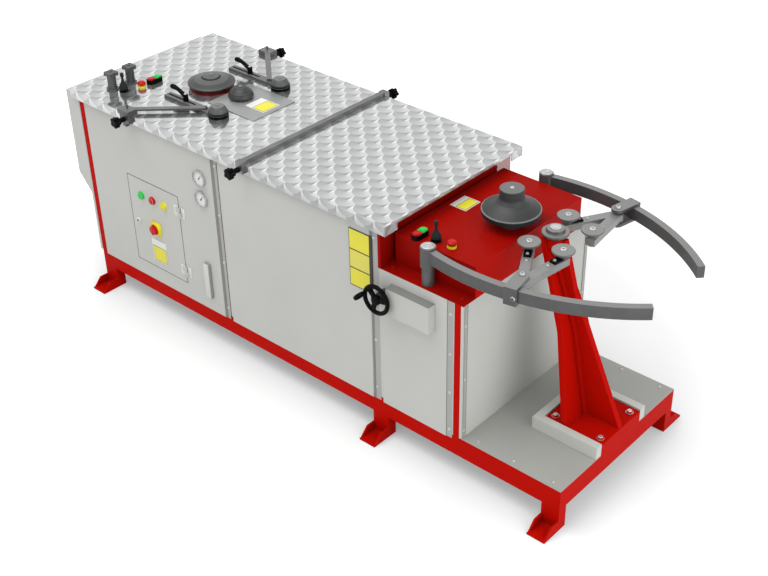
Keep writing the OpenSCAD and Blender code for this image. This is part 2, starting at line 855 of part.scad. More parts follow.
module stick_left() {
    color("black") at(177, -277, table_z) stick();
}

module stick_right() {
    color("black") at(x_box + 153, -277, box_z) stick();
}

// Cone roll: hub, cone and a thin rim
module cone_roll() {
    color("dimgray") at(x_cone, 0, box_z + 30 + air) rotate_extrude()
        polygon([[18 + run, 0], [44, 0], [48, 8], [cone_r - 12, 17], [cone_r - 2, 26],
            [cone_r, 29], [cone_r, 33], [cone_r - 4, 34], [80, 50], [58, 64], [49, 76], [47, 84],
            [47, 116], [45, 118], [0, 118], [0, 100], [18 + run, 100]]);
}

// Centre roller on the head of the pedestal
module centre_roll() {
    color("dimgray") at(x_mid, 0, box_z + 22 + air) rotate_extrude()
        polygon([[12 + run, 0], [centre_r - 14, 0], [centre_r, 12], [centre_r, 18],
            [centre_r - 2, 20], [36, 20], [34, 26], [34, 32], [32, 34], [20, 34], [20, 38],
            [0, 38], [0, 26.5], [12 + run, 26.5]]);
}

// Curved arm on the far side, bored to turn on its post
module arm() {
    difference() {
        union() {
            translate([x_arc, -y_arc, arm_low]) rotate(tip_a)
                rotate_extrude(angle = arc_end - tip_a) translate([arm_r - arm_w / 2, 0])
                    square([arm_w, arm_h]);
            translate([x_pivot, y_pivot, deck_z + 76 + air]) cylinder(r = pivot_r + 6, h = 82);
            translate([x_pivot, y_pivot, deck_z + 76 + air]) cylinder(r = pivot_r + 3, h = 85);
        }
        translate([x_pivot, y_pivot, deck_z + 76]) cylinder(r = pivot_r - 8 + run, h = 74 + 2 * air);
    }
}

module arm_near() {
    color("dimgray") at() side(-1) arm();
}

module arm_far() {
    color("dimgray") at() side(1) arm();
}

// Clamp that runs along the arm: two plates, the outer wall and the pivot pin
module clamp() {
    translate([x_arc, -y_arc, 0]) rotate(clamp_a) {
        a = arm_w / 2 + air;
        for (z = [arm_low - 11 - air, arm_top + air]) {
            box([arm_r - hang, -25, z], [arm_r + a + 9, 25, z + 11]);
            translate([arm_r - hang, 0, z]) cylinder(r = 25, h = 11);
        }
        box([arm_r + a, -25, arm_low - 11 - air], [arm_r + a + 9, 25, arm_top + air + 11]);
        translate([arm_r - hang, 0, arm_low - 4 - air]) cylinder(r = 8, h = arm_h + 8 + 2 * air);
        translate([arm_r - hang, 0, arm_top + air + 10]) bolt(9, 8);
        translate([arm_r + a + 8, -12, arm_low + 20]) rotate([0, 90, 0]) bolt(7, 6);
    }
}

module clamp_near() {
    color("dimgray") at() side(-1) clamp();
}

module clamp_far() {
    color("dimgray") at() side(1) clamp();
}

// V bracket: a plate from its pivot hub to the two rollers, with their bosses and pins
module bracket() {
    w = bar_w / 2;
    ua = ra / norm(ra);
    ub = rb / norm(rb);
    na = [-ua[1], ua[0]];
    nb = [ub[1], -ub[0]];
    ea = ra + ua * 16;
    eb = rb + ub * 16;
    crotch = (ua + ub) / norm(ua + ub) * w / sin(acos(ua * ub) / 2);
    translate([x_hang, y_hang, bar_z]) difference() {
        union() {
            linear_extrude(bar_t)
                polygon([ua * 3 - na * w, ea - na * w, ea + na * w, crotch, eb + nb * w,
                    eb - nb * w, ub * 3 - nb * w]);
            cylinder(r = w + 4, h = bar_t);
            for (v = [ra, rb]) translate([v[0], v[1], bar_t]) rotate(atan2(v[1], v[0])) {
                translate([0, 0, -bar_t - 4]) cylinder(r = 15, h = bar_t + 8);
                translate([0, 0, -1]) cylinder(r1 = 15, r2 = 21, h = 10);
                cylinder(r = 7, h = 25);
                box([-56, -14, -1], [-10, 14, 7.5]);
                translate([-44, 0, 7]) bolt(5, 4);
                translate([-80, 0, -1]) bolt(5, 5);
            }
        }
        translate([0, 0, -1]) cylinder(r = 8 + run, h = bar_t + 2);
    }
}

module bracket_near() {
    color("gray") at() side(-1) bracket();
}

module bracket_far() {
    color("gray") at() side(1) bracket();
}

// Guide roller: a flat disc that narrows to its boss
module guide_roller(s, v) {
    color("dimgray") at() side(s)
        translate([x_hang + v[0], y_hang + v[1], bar_z + bar_t + 9 + air]) rotate_extrude()
            polygon([[7 + run, 0], [22, 0], [guide_r - 3, 15], [guide_r, 19], [guide_r, 23],
                [guide_r - 2, 25], [10, 25], [10, 28], [0, 28], [0, 16.5], [7 + run, 16.5]]);
}

module roller_near_a() {
    guide_roller(-1, ra);
}

module roller_near_b() {
    guide_roller(-1, rb);
}

module roller_far_a() {
    guide_roller(1, ra);
}

module roller_far_b() {
    guide_roller(1, rb);
}

rails();
crosses();
feet();
posts();
panel_front_left();
panel_front_mid();
panel_front_right();
panel_rear();
cover_left();
deck();
table();
floor_plate();
pedestal();
columns();
drive_left();
drive_right();
consoles();
ebox();
gauges();
hinges();
cover_box();
wheel_boss();
sign_plates();
door();
switch_knob();
handwheel();
crank_grip();
disc_left();
roll_left();
guide_near();
head_near();
lever_near();
knob_near();
guide_far();
head_far();
lever_far();
knob_far();
stop_bar();
stop_knob_near();
stop_knob_far();
start_left();
stop_left();
estop_left();
stick_left();
start_right();
stop_right();
estop_right();
stick_right();
cone_roll();
centre_roll();
arm_near();
clamp_near();
bracket_near();
roller_near_a();
roller_near_b();
arm_far();
clamp_far();
bracket_far();
roller_far_a();
roller_far_b();
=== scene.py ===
# Duct elbow machine: the finish of its painted frame and sheets, its engine-turned table,
# its forming rolls and arms, and the small fittings that they carry.

import math

import bmesh
import bpy
from mathutils import Matrix, Vector


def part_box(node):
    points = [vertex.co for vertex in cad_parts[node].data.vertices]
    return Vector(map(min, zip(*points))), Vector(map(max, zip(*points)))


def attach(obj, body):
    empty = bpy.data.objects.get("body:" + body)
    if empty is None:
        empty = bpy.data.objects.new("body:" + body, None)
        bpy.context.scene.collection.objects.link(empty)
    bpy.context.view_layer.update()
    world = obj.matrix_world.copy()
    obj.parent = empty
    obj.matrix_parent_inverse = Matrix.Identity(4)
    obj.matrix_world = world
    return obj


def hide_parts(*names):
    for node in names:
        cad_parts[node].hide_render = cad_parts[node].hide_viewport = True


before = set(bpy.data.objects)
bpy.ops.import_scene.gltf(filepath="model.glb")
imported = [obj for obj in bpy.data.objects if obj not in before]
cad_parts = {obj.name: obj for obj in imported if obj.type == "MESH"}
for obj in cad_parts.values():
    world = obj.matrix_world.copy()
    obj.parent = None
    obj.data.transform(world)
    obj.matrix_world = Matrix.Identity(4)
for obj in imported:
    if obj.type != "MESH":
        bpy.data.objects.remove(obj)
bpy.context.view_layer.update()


# Camera
# It stands high beyond the right end, on the control side, and looks down along the
# machine. The picture is cut a little off centre, so the lens is shifted by that much.
scene = bpy.context.scene
yaw, pitch, roll = 0.70013, -0.57687, -0.000595
stand = (3.1082, -3.3123, 3.3382)
picture_wide = 768
focal_pixels = 1276.07
centre_off = (-42.92, -9.53)

tilted = Matrix.Rotation(math.pi / 2 + pitch, 4, "X") @ Matrix.Rotation(roll, 4, "Z")
film = bpy.data.cameras.new("camera")
film.sensor_width = 36
film.lens = focal_pixels / picture_wide * film.sensor_width
film.shift_x = centre_off[0] / picture_wide
film.shift_y = centre_off[1] / picture_wide
film.clip_end = 60
camera = bpy.data.objects.new("camera", film)
camera.matrix_world = Matrix.Translation(stand) @ Matrix.Rotation(yaw, 4, "Z") @ tilted
scene.collection.objects.link(camera)
scene.camera = camera
scene.view_settings.view_transform = "Standard"


# Studio
# A wide pale floor under a white sky. The camera, glossy faces and glass see both as white,
# while the light stays plain: a lamp overhead, one in front and a low, wide one at the right.
def feed(tree, node, inputs):
    """Put numbers on the inputs of a node, or link sockets to them."""
    for key, value in inputs.items():
        if isinstance(value, bpy.types.NodeSocket):
            tree.links.new(value, node.inputs[key])
        else:
            node.inputs[key].default_value = value


def put(tree, kind, inputs=None, **settings):
    """Add a shader node, with its settings and with numbers or sockets on its inputs."""
    made = tree.nodes.new("ShaderNode" + kind)
    for key, value in settings.items():
        setattr(made, key, value)
    feed(tree, made, inputs or {})
    return made


def sums(tree, operation, a, b=0.0, clamp=False):
    return put(tree, "Math", {0: a, 1: b}, operation=operation, use_clamp=clamp).outputs[0]


def times(tree, a, b, clamp=False):
    return sums(tree, "MULTIPLY", a, b, clamp)


def vector(tree, operation, a, b=(0, 0, 0)):
    """Vector that an operation makes of two, or the number that it gives."""
    made = put(tree, "VectorMath", {0: a, 1: b}, operation=operation)
    return made.outputs["Value" if operation in ("LENGTH", "DOT_PRODUCT") else "Vector"]


def mix_number(tree, factor, a, b):
    return put(tree, "Mix", {0: factor, 2: a, 3: b}).outputs[0]


def new_material(name):
    made = bpy.data.materials.new(name)
    made.use_nodes = True
    return made, made.node_tree


def dress(tree, inputs):
    """Numbers or sockets for the shader of a material."""
    feed(tree, tree.nodes["Principled BSDF"], inputs)


def seen_directly(tree):
    """1 for rays from the camera, off a glossy face or through glass, 0 for diffuse light."""
    path = put(tree, "LightPath").outputs
    seen = sums(tree, "MAXIMUM", path["Is Camera Ray"], path["Is Glossy Ray"])
    return sums(tree, "MAXIMUM", seen, path["Is Transmission Ray"])


floor_half = 14.0
floor_tone = 0.8
floor_glow = 0.24
far_tone = 1.9
fade_from, fade_to = 1.3, 3.8
sky_light = 0.52
lamps = {
    "overhead_lamp": ((-0.6, -1.2, 5.0), (0.1, 0.0, 0.6), 4.5, 140.0),
    "front_lamp": ((0.6, -6.5, 3.2), (0.1, 0.0, 0.5), 4.0, 36.0),
    "right_lamp": ((6.0, -0.4, 2.3), (0.8, 0.0, 0.4), 6.5, 155.0),
}

floor_mesh = bpy.data.meshes.new("floor")
floor_mesh.from_pydata([(x, y, 0) for x, y in ((-1, -1), (1, -1), (1, 1), (-1, 1))], [], [(0, 1, 2, 3)])
floor = bpy.data.objects.new("floor", floor_mesh)
floor.scale = (floor_half, floor_half, 1)
scene.collection.objects.link(floor)
floor_paint, tree = new_material("floor_paint")
reach = vector(tree, "LENGTH", put(tree, "NewGeometry").outputs["Position"])
far = put(tree, "MapRange", {0: reach, 1: fade_from, 2: fade_to, 3: floor_tone, 4: far_tone}).outputs[0]
seen = seen_directly(tree)
dress(tree, {"Base Color": mix_number(tree, seen, floor_tone, far), "Roughness": 1.0,
             "Emission Color": times(tree, seen, floor_glow), "Emission Strength": 1.0,
             "Specular IOR Level": 0.0})
floor.data.materials.append(floor_paint)

world = bpy.data.worlds.new("studio")
scene.world = world
world.use_nodes = True
tree = world.node_tree
strength = mix_number(tree, seen_directly(tree), sky_light, 1.0)
feed(tree, tree.nodes["Background"], {"Color": (1, 1, 1, 1), "Strength": strength})

for name, (place, target, size, power) in lamps.items():
    light = bpy.data.lights.new(name, "AREA")
    light.shape = "DISK"
    light.size = size
    light.energy = power
    lamp = bpy.data.objects.new(name, light)
    lamp.location = place
    lamp.rotation_euler = (Vector(target) - Vector(place)).to_track_quat("-Z", "Y").to_euler()
    scene.collection.objects.link(lamp)


# Red frame
# Folded and welded steel sections: rails, cross members, feet, corner posts, the deck of
# the lower cabinet, the pedestal and the gear housing, all in glossy red paint.
def colour(red, green, blue):
    """Colour of a shader socket from screen values of 0 to 255."""
    values = (value / 255 for value in (red, green, blue))
    return (*(v / 12.92 if v <= 0.04045 else ((v + 0.055) / 1.055) ** 2.4 for v in values), 1.0)


def tinted(tint, share, plus=0.0):
    """A share of a colour, plus some white."""
    return (*(value * share + plus for value in tint[:3]), 1.0)


def mix_colour(tree, factor, a, b):
    return put(tree, "Mix", {0: factor, 6: a, 7: b}, data_type="RGBA").outputs[2]


def part(tree, kind, output, axis):
    """One component of a vector, such as the true normal or the place on the object."""
    return put(tree, "SeparateXYZ", {0: put(tree, kind).outputs[output]}).outputs[axis]


def ramp(tree, value, stops):
    """Number that follows a value through (position, number) stops."""
    made = put(tree, "ValToRGB", {0: value})
    band = made.color_ramp
    while len(band.elements) < len(stops):
        band.elements.new(0.5)
    for element, (position, number) in zip(band.elements, stops):
        element.position = position
        element.color = (number, number, number, 1)
    return made.outputs[0]


def new_group(name, inputs, outputs):
    """Shader group with number inputs and named outputs, the node of each side given back."""
    tree = bpy.data.node_groups.new(name, "ShaderNodeTree")
    for label, value in inputs.items():
        tree.interface.new_socket(label, in_out="INPUT", socket_type="NodeSocketFloat").default_value = value
    for label in outputs:
        kind = "NodeSocketVector" if label == "Normal" else "NodeSocketFloat"
        tree.interface.new_socket(label, in_out="OUTPUT", socket_type=kind)
    return tree, tree.nodes.new("NodeGroupInput").outputs, tree.nodes.new("NodeGroupOutput")


def use_group(tree, group, *values):
    """Place a shader group, with values on its inputs in their order."""
    made = put(tree, "Group", node_tree=group)
    feed(tree, made, dict(enumerate(values)))
    return made.outputs


def noise(tree, spot, scale, detail=2.0, dimensions="3D", rough=0.5):
    inputs = {"Vector": spot, "Scale": scale, "Detail": detail, "Roughness": rough}
    return put(tree, "TexNoise", inputs, noise_dimensions=dimensions).outputs[0]


edge_wear, given, out = new_group("edge_wear", {"Width": 0.002, "Breaks": 40.0}, ["Mask", "Normal"])
rounded = put(edge_wear, "Bevel", {"Radius": given["Width"]}, samples=4).outputs[0]
along = vector(edge_wear, "DOT_PRODUCT", rounded, put(edge_wear, "NewGeometry").outputs["Normal"])
broken = noise(edge_wear, put(edge_wear, "TexCoord").outputs["Object"], given["Breaks"])
edge = times(edge_wear, sums(edge_wear, "SUBTRACT", 1.0, along), 6.0, clamp=True)
feed(edge_wear, out, {"Mask": times(edge_wear, edge, broken, clamp=True), "Normal": rounded})

paint_skin, given, out = new_group("paint_skin", {"Cloud Scale": 2.2, "Peel Scale": 500.0},
                                   ["Cloud", "Peel", "Dust"])
spot = put(paint_skin, "TexCoord").outputs["Object"]
cloud = noise(paint_skin, spot, given["Cloud Scale"], 3.0)
speck = ramp(paint_skin, noise(paint_skin, spot, 90.0, 4.0), [(0.5, 0.0), (0.75, 1.0)])
upper = times(paint_skin, part(paint_skin, "NewGeometry", "Normal", "Z"), 0.8, clamp=True)
feed(paint_skin, out, {"Cloud": ramp(paint_skin, cloud, [(0.3, 0.0), (0.7, 1.0)]),
                       "Peel": noise(paint_skin, spot, given["Peel Scale"], 1.0),
                       "Dust": times(paint_skin, speck, upper)})


def surface(tree, body, rough, height, edges, grain, others):
    """Dress a material: its colour, its roughness and a grained normal over rounded edges."""
    strength, depth = grain
    bump = put(tree, "Bump", {"Strength": strength, "Distance": depth, "Height": height,
                              "Normal": edges["Normal"]})
    dress(tree, {"Base Color": body, "Roughness": rough, "Normal": bump.outputs[0], **others})


def skinned(name, tones, rough, edge, scales, wear, dust, grain, others, bounce=None):
    """Material with clouds of two tones, a fine grain, worn edges in a third tone, and dust.

    A bounce tone takes the place of the colour in diffuse light, so that it tints nothing near."""
    made, tree = new_material(name)
    edges = use_group(tree, edge_wear, *edge)
    skin = use_group(tree, paint_skin, *scales)
    deep, tint, worn = tones
    body = mix_colour(tree, skin["Cloud"], deep, tint)
    body = mix_colour(tree, times(tree, edges["Mask"], wear), body, worn)
    body = mix_colour(tree, times(tree, skin["Dust"], dust), body, colour(150, 148, 142))
    if bounce:
        body = mix_colour(tree, put(tree, "LightPath").outputs["Is Diffuse Ray"], body, bounce)
    surface(tree, body, mix_number(tree, skin["Cloud"], *rough), skin["Peel"], edges, grain, others)
    return made


def painted(name, screen_tint, gloss, shine=0.4, peel=0.04, wear=0.35, dust=0.08, bounce=None):
    """Sprayed paint: faint clouds, orange peel, paler worn edges and a little dust."""
    tint = colour(*screen_tint)
    return skinned(name, (tinted(tint, 0.93), tint, tinted(tint, 0.75, 0.16)), (gloss, gloss + 0.06),
                   (0.0015, 40.0), (2.2, 500.0), wear, dust, (peel, 0.001), {"Specular IOR Level": shine},
                   bounce)


def finish(made, *names):
    """Give a material to the CAD nodes of these names."""
    for name in names:
        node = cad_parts[name]
        if not node.material_slots:
            node.data.materials.append(made)
        for slot in node.material_slots:
            slot.link = "OBJECT"
            slot.material = made


def repaint(made, mask, screen_tint):
    """Give a finished material another colour where a mask is 1."""
    tree = made.node_tree
    under = tree.nodes["Principled BSDF"].inputs["Base Color"].links[0].from_socket
    dress(tree, {"Base Color": mix_colour(tree, mask, under, colour(*screen_tint))})


no_tint = colour(84, 80, 79)
red_paint = painted("red_paint", (196, 13, 2), 0.36, shine=0.02, wear=0.2, dust=0.02, bounce=no_tint)
finish(red_paint, "rails", "crosses", "feet", "posts", "pedestal")
# The gear housing under the disc is painted a darker red, as painted shade under the disc
finish(painted("hub_painted_shade_red", (92, 8, 5), 0.3, shine=0.1, dust=0.0, bounce=no_tint), "drive_left")

# The deck is painted a darker red than the frame, as painted shade. Two of its faces look to the
# right end: the wall beside the table, so glossy that the switches show in it, and beyond this place
# its outer end, as red as the frame
wall_ends = 0.45
deck_painted_shade_red = painted("deck_painted_shade_red", (160, 11, 3), 0.36, shine=0.03, wear=0.2, dust=0.02, bounce=no_tint)
tree = deck_painted_shade_red.node_tree
to_right = sums(tree, "GREATER_THAN", part(tree, "NewGeometry", "True Normal", "X"), 0.7)
at_x = part(tree, "TexCoord", "Object", "X")
wall, outer_end = (times(tree, to_right, sums(tree, side, at_x, wall_ends))
                   for side in ("LESS_THAN", "GREATER_THAN"))
repaint(deck_painted_shade_red, outer_end, (196, 14, 3))
dress(tree, {"Coat Weight": wall, "Coat IOR": 2.2, "Coat Roughness": 0.06})
finish(deck_painted_shade_red, "deck")


# Sheet cladding
# Folded steel sheets in warm grey powder coat: front, rear and end sheets, the hollow
# cover at the left end, the switch cupboard and the cover box, held by zinc screws.
grey_paint = painted("grey_paint", (203, 204, 199), 0.48, shine=0.3, peel=0.03, wear=0.12, dust=0.04)
finish(grey_paint, "panel_front_left", "panel_front_mid", "panel_front_right", "panel_rear",
       "cover_left", "cover_box", "ebox", "door")

rails_low, rails_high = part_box("rails")
to_frame = Matrix.Translation((rails_low.x, (rails_low.y + rails_high.y) / 2, 0)) @ Matrix.Scale(0.001, 4)
crease = math.radians(35)


def span(node):
    """Low and high corner of a CAD node, in mm from the rails' left end, middle plane and floor."""
    return [to_frame.inverted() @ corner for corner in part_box(node)]


def circle(sides):
    """Directions round a circle, as (cosine, sine)."""
    turns = (2 * math.pi * k / sides for k in range(sides))
    return [(math.cos(turn), math.sin(turn)) for turn in turns]


def turned(profile, sides=48, ring=False):
    """Mesh of a turned piece from (radius, height) points in mm, about z; a ring closes on itself."""
    bm = bmesh.new()
    rings = []
    for radius, height in profile:
        ways = circle(sides) if radius > 1e-6 else [(1, 0)]
        rings.append([bm.verts.new((radius * x, radius * y, height)) for x, y in ways])
    for low, high in zip(rings, rings[1:] + (rings[:1] if ring else [])):
        for k in range(sides):
            j = (k + 1) % sides
            around = [low[k % len(low)], low[j % len(low)], high[j % len(high)], high[k % len(high)]]
            bm.faces.new(list(dict.fromkeys(around)))
    for end in (rings[0], rings[-1]):
        if len(end) > 1 and not ring:
            bm.faces.new(end)
    return bm


def placed(bm, place, turn=None):
    """The mesh moved to a place in mm, after a turn."""
    matrix = Matrix.Translation(place) @ (turn or Matrix())
    bmesh.ops.transform(bm, matrix=matrix, verts=bm.verts)
    return bm


def fit(name, meshes, made, body="machine", replaces=()):
    """Join meshes in mm to one piece in the frame, finish it and let it ride on a body."""
    mesh = bpy.data.meshes.new(name)
    whole = bmesh.new()
    for bm in meshes:
        bmesh.ops.recalc_face_normals(bm, faces=bm.faces)
        bm.to_mesh(mesh)
        bm.free()
        whole.from_mesh(mesh)
    bmesh.ops.transform(whole, matrix=to_frame, verts=whole.verts)
    whole.to_mesh(mesh)
    whole.free()
    mesh.shade_smooth()
    mesh.set_sharp_from_angle(angle=crease)
    mesh.materials.append(made)
    piece = bpy.data.objects.new(name, mesh)
    scene.collection.objects.link(piece)
    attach(piece, body)
    if replaces:
        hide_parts(*replaces)


# Turns of fittings that stand on the control side, on the rear and on the right end
to_front = Matrix.Rotation(math.pi / 2, 4, "X")
to_rear = Matrix.Rotation(-math.pi / 2, 4, "X")
to_end = Matrix.Rotation(math.pi / 2, 4, "Y")


def pan_screws(radius, height, places, turn=None):
    """Domed screw heads with round drive recesses, at places in mm."""
    profile = [(radius, 0), (radius, height * 0.4), (radius * 0.85, height * 0.8), (radius * 0.5, height),
               (radius * 0.42, height), (radius * 0.3, height * 0.5), (0, height * 0.5)]
    return [placed(turned(profile, 20), place, turn) for place in places]


def bright_metal(name, screen_tint, gloss, metallic=0.85):
    """Zinc or nickel plate: fine mottling, soft rub marks and brighter edges."""
    tint = colour(*screen_tint)
    return skinned(name, (tinted(tint, 0.8), tint, colour(235, 235, 232)), (gloss, gloss + 0.15),
                   (0.0008, 300.0), (60.0, 1500.0), 1.0, 0.0, (0.06, 0.0005), {"Metallic": metallic})


front_low, front_high = span("panel_front_left")
mid_low, mid_high = span("panel_front_mid")
right_low, right_high = span("panel_front_right")
rear_high = span("panel_rear")[1]
foot_level = front_low.z
strip_face = front_low.y + 1.2
strip_screws = [(front_high.x - 25, 60, front_high.z - 67), (mid_high.x - 20, 60, mid_high.z - 67),
                (right_high.x - 17, 40, right_high.z - 57)]
screws = []
for x, from_foot, high in strip_screws:
    low = foot_level + from_foot
    screws += pan_screws(6.2, 3.2, [(x, strip_face, low + (high - low) * k / 3) for k in range(4)], to_front)
screws += pan_screws(6.2, 4.0, [(rear_high.x - 2.5, y, foot_level + 60 + 240 * k) for k in range(3)
                                for y in (mid_low.y + 13, rear_high.y - 14)], to_end)
screws += pan_screws(6.2, 3.2, [(x, rear_high.y - 1.2, foot_level + 55 + 260 * k)
                                for x, _, _ in strip_screws for k in range(3)], to_rear)
fit("sheet_screws", screws, bright_metal("dull_zinc", (214, 215, 212), 0.4, 0.2))


# Engine-turned table
# A polished steel plate over a steel frame, its fascia folded down at the long sides. A
# turning pad leaves overlapping round marks in staggered rows, like fish scales.
scale_pitch = 0.0915
scale_origin = (-0.1871, 0.338, 0.0)

table_steel, tree = new_material("engine_turned_steel")
spot = put(tree, "TexCoord").outputs["Object"]
parts = put(tree, "SeparateXYZ", {0: spot}).outputs
on_end, on_side = (sums(tree, "GREATER_THAN", sums(
    tree, "ABSOLUTE", part(tree, "NewGeometry", "True Normal", axis)), 0.7) for axis in "XY")
along_x = sums(tree, "ADD", parts["X"], times(tree, parts["Z"], on_end))
along_y = sums(tree, "ADD", parts["Y"], times(tree, parts["Z"], on_side))
unfolded = put(tree, "CombineXYZ", {0: along_x, 1: along_y}).outputs[0]
in_marks = vector(tree, "MULTIPLY", vector(tree, "SUBTRACT", unfolded, scale_origin), (1 / scale_pitch,) * 3)


def nearest_mark(shift):
    """Place within the nearest round mark of one of the two staggered rows, in pitches."""
    whole = vector(tree, "FRACTION", vector(tree, "ADD", in_marks, (shift, shift, 0.5)))
    local = vector(tree, "SUBTRACT", whole, (0.5, 0.5, 0.5))
    inside = sums(tree, "LESS_THAN", vector(tree, "LENGTH", local), 0.5)
    return local, inside, put(tree, "SeparateXYZ", {0: local}).outputs["Y"]


row_a, inside_a, height_a = nearest_mark(0.5)
row_b, inside_b, height_b = nearest_mark(0.0)
a_is_above = sums(tree, "LESS_THAN", height_a, height_b)
only_a = sums(tree, "SUBTRACT", 1.0, inside_b)
take_a = times(tree, inside_a, sums(tree, "MAXIMUM", only_a, a_is_above))
mark = put(tree, "Mix", {0: take_a, 4: row_b, 5: row_a}, data_type="VECTOR").outputs[1]
mark_parts = put(tree, "SeparateXYZ", {0: mark}).outputs
from_centre = vector(tree, "LENGTH", mark)
angle = sums(tree, "ARCTAN2", mark_parts["X"], mark_parts["Y"])
sweep = sums(tree, "FRACT", sums(tree, "DIVIDE", angle, 2 * math.pi))
# Each mark is painted bright on one side of its middle and dark on the other: a painted highlight in the
# colour. The rings and clouds added to it are the steel's own grain.
painted_sheen = ramp(tree, sweep, [(0.0, 1.0), (0.05, 0.97), (0.14, 0.72), (0.27, 0.62), (0.42, 0.4),
                           (0.6, 0.22), (0.8, 0.05), (0.93, 0.0), (0.985, 0.12), (1.0, 0.9)])
rings = noise(tree, put(tree, "CombineXYZ", {0: times(tree, from_centre, 60.0)}).outputs[0], 1.0, 3.0)
for texture, strength in ((rings, 0.22), (noise(tree, spot, 3.0, 2.0), 0.25)):
    change = times(tree, sums(tree, "SUBTRACT", texture, 0.5), strength)
    painted_sheen = sums(tree, "ADD", painted_sheen, change, True)
body = mix_colour(tree, painted_sheen, colour(166, 167, 167), colour(243, 244, 244))
# The folded fascia at the long sides is painted darker, as painted shade
body = mix_colour(tree, times(tree, on_side, 0.5), body, colour(118, 119, 119))
relief = sums(tree, "ADD", times(tree, from_centre, 0.7), times(tree, rings, 0.1))
metal = sums(tree, "SUBTRACT", 0.85, times(tree, on_end, 0.55))
surface(tree, body, mix_number(tree, painted_sheen, 0.09, 0.16), relief, use_group(tree, edge_wear, 0.0015),
        (0.04, 0.004), {"Metallic": metal})
finish(table_steel, "table")


# Steel working parts
# Lathe-turned rolls and guide heads in blackened steel, and the arms, brackets, slotted
# bars and columns in brushed steel. Fine rings run round each roll, and scratches along a bar.
turned_grain, given, out = new_group("turned_grain", {"Rings": 70.0}, ["Grain", "Band"])
spot = put(turned_grain, "TexCoord").outputs["Generated"]
flat = vector(turned_grain, "MULTIPLY", vector(turned_grain, "SUBTRACT", spot, (0.5, 0.5, 0)), (1, 1, 0))
across_rings = times(turned_grain, vector(turned_grain, "LENGTH", flat), given["Rings"])
up_rings = times(turned_grain, part(turned_grain, "TexCoord", "Generated", "Z"), given["Rings"])
rings = put(turned_grain, "CombineXYZ", {0: across_rings, 1: times(turned_grain, up_rings, 0.35)}).outputs[0]
coarse = noise(turned_grain, rings, 0.22, 1.0, "2D")
feed(turned_grain, out, {"Grain": noise(turned_grain, rings, 1.6, 3.0, "2D", 0.7),
                         "Band": ramp(turned_grain, coarse, [(0.35, 0.0), (0.65, 1.0)])})


def bare_steel(tree, tones, lines, blotches, share, gloss, edge, grain, metallic, top):
    """Finish a steel: two tones along its lines and blotches, painted light on its top and bare corners."""
    edges = use_group(tree, edge_wear, *edge)
    soft = sums(tree, "ADD", times(tree, lines, 0.6), times(tree, blotches, share), clamp=True)
    painted_light_top = sums(tree, "GREATER_THAN", part(tree, "NewGeometry", "True Normal", "Z"), 0.95)
    body = mix_colour(tree, soft, *(colour(*tone) for tone in tones))
    body = mix_colour(tree, times(tree, painted_light_top, top), body, colour(176, 176, 175))
    body = mix_colour(tree, edges["Mask"], body, colour(176, 176, 174))
    surface(tree, body, mix_number(tree, lines, *gloss), lines, edges, grain, {"Metallic": metallic})


def turned_steel(name, dark, pale, gloss, metallic=0.3, top=0.0):
    """Steel from the lathe: rings of two tones, bare corners, a lined surface and painted light on top."""
    made, tree = new_material(name)
    grain = use_group(tree, turned_grain)
    bare_steel(tree, (dark, pale), grain["Grain"], grain["Band"], 0.4, (gloss, gloss + 0.16),
               (0.0012, 160.0), (0.1, 0.0006), metallic, top)
    return made


def brushed_steel(name, dark, pale, gloss, lay, metallic=0.75, top=0.0):
    """Ground flat steel: long scratches along the bar, blotches, brighter corners, painted light on top."""
    made, tree = new_material(name)
    spot = put(tree, "TexCoord").outputs["Object"]
    lines = noise(tree, put(tree, "Mapping", {0: spot, "Scale": lay}).outputs[0], 1.0, 3.0, rough=0.65)
    blotches = ramp(tree, noise(tree, spot, 14.0, 3.0), [(0.35, 0.0), (0.65, 1.0)])
    bare_steel(tree, (dark, pale), lines, blotches, 0.35, (gloss, gloss + 0.14), (0.001, 120.0),
               (0.08, 0.0005), metallic, top)
    return made


rollers = ["roller_near_a", "roller_near_b", "roller_far_a", "roller_far_b"]
# The share given as top is painted light: faces that look up are painted lighter than the sides
finish(turned_steel("blackened_steel", (50, 51, 51), (84, 85, 85), 0.34, top=0.12), "disc_left")
finish(turned_steel("roll_steel", (36, 37, 37), (66, 67, 67), 0.36), "roll_left")
finish(turned_steel("cone_steel", (28, 29, 29), (58, 59, 59), 0.4, 0.2, 0.3), "cone_roll")
finish(turned_steel("head_steel", (60, 61, 61), (96, 97, 97), 0.36, top=0.25), "head_near", "head_far")
pale_steel = turned_steel("roller_steel", (78, 79, 78), (102, 103, 101), 0.32, top=0.42)
finish(pale_steel, "centre_roll", *rollers)
finish(turned_steel("column_steel", (62, 63, 64), (90, 91, 92), 0.38), "columns", "wheel_boss", "drive_right")
arm_steel = brushed_steel("arm_steel", (62, 62, 62), (84, 84, 84), 0.36, (30, 60, 60), 0.2, 0.42)
finish(arm_steel, "arm_near", "arm_far", "clamp_near", "clamp_far")
bar_steel = brushed_steel("bar_steel", (110, 111, 110), (138, 139, 137), 0.32, (40, 140, 140), 0.3, 0.25)
finish(bar_steel, "bracket_near", "bracket_far")
guide_steel = brushed_steel("guide_steel", (60, 61, 60), (86, 87, 86), 0.34, (40, 140, 140), 0.2, 0.2)
finish(guide_steel, "guide_near", "guide_far")
cross_steel = brushed_steel("cross_bar_steel", (104, 104, 104), (134, 134, 134), 0.26, (260, 20, 260))
finish(cross_steel, "stop_bar")

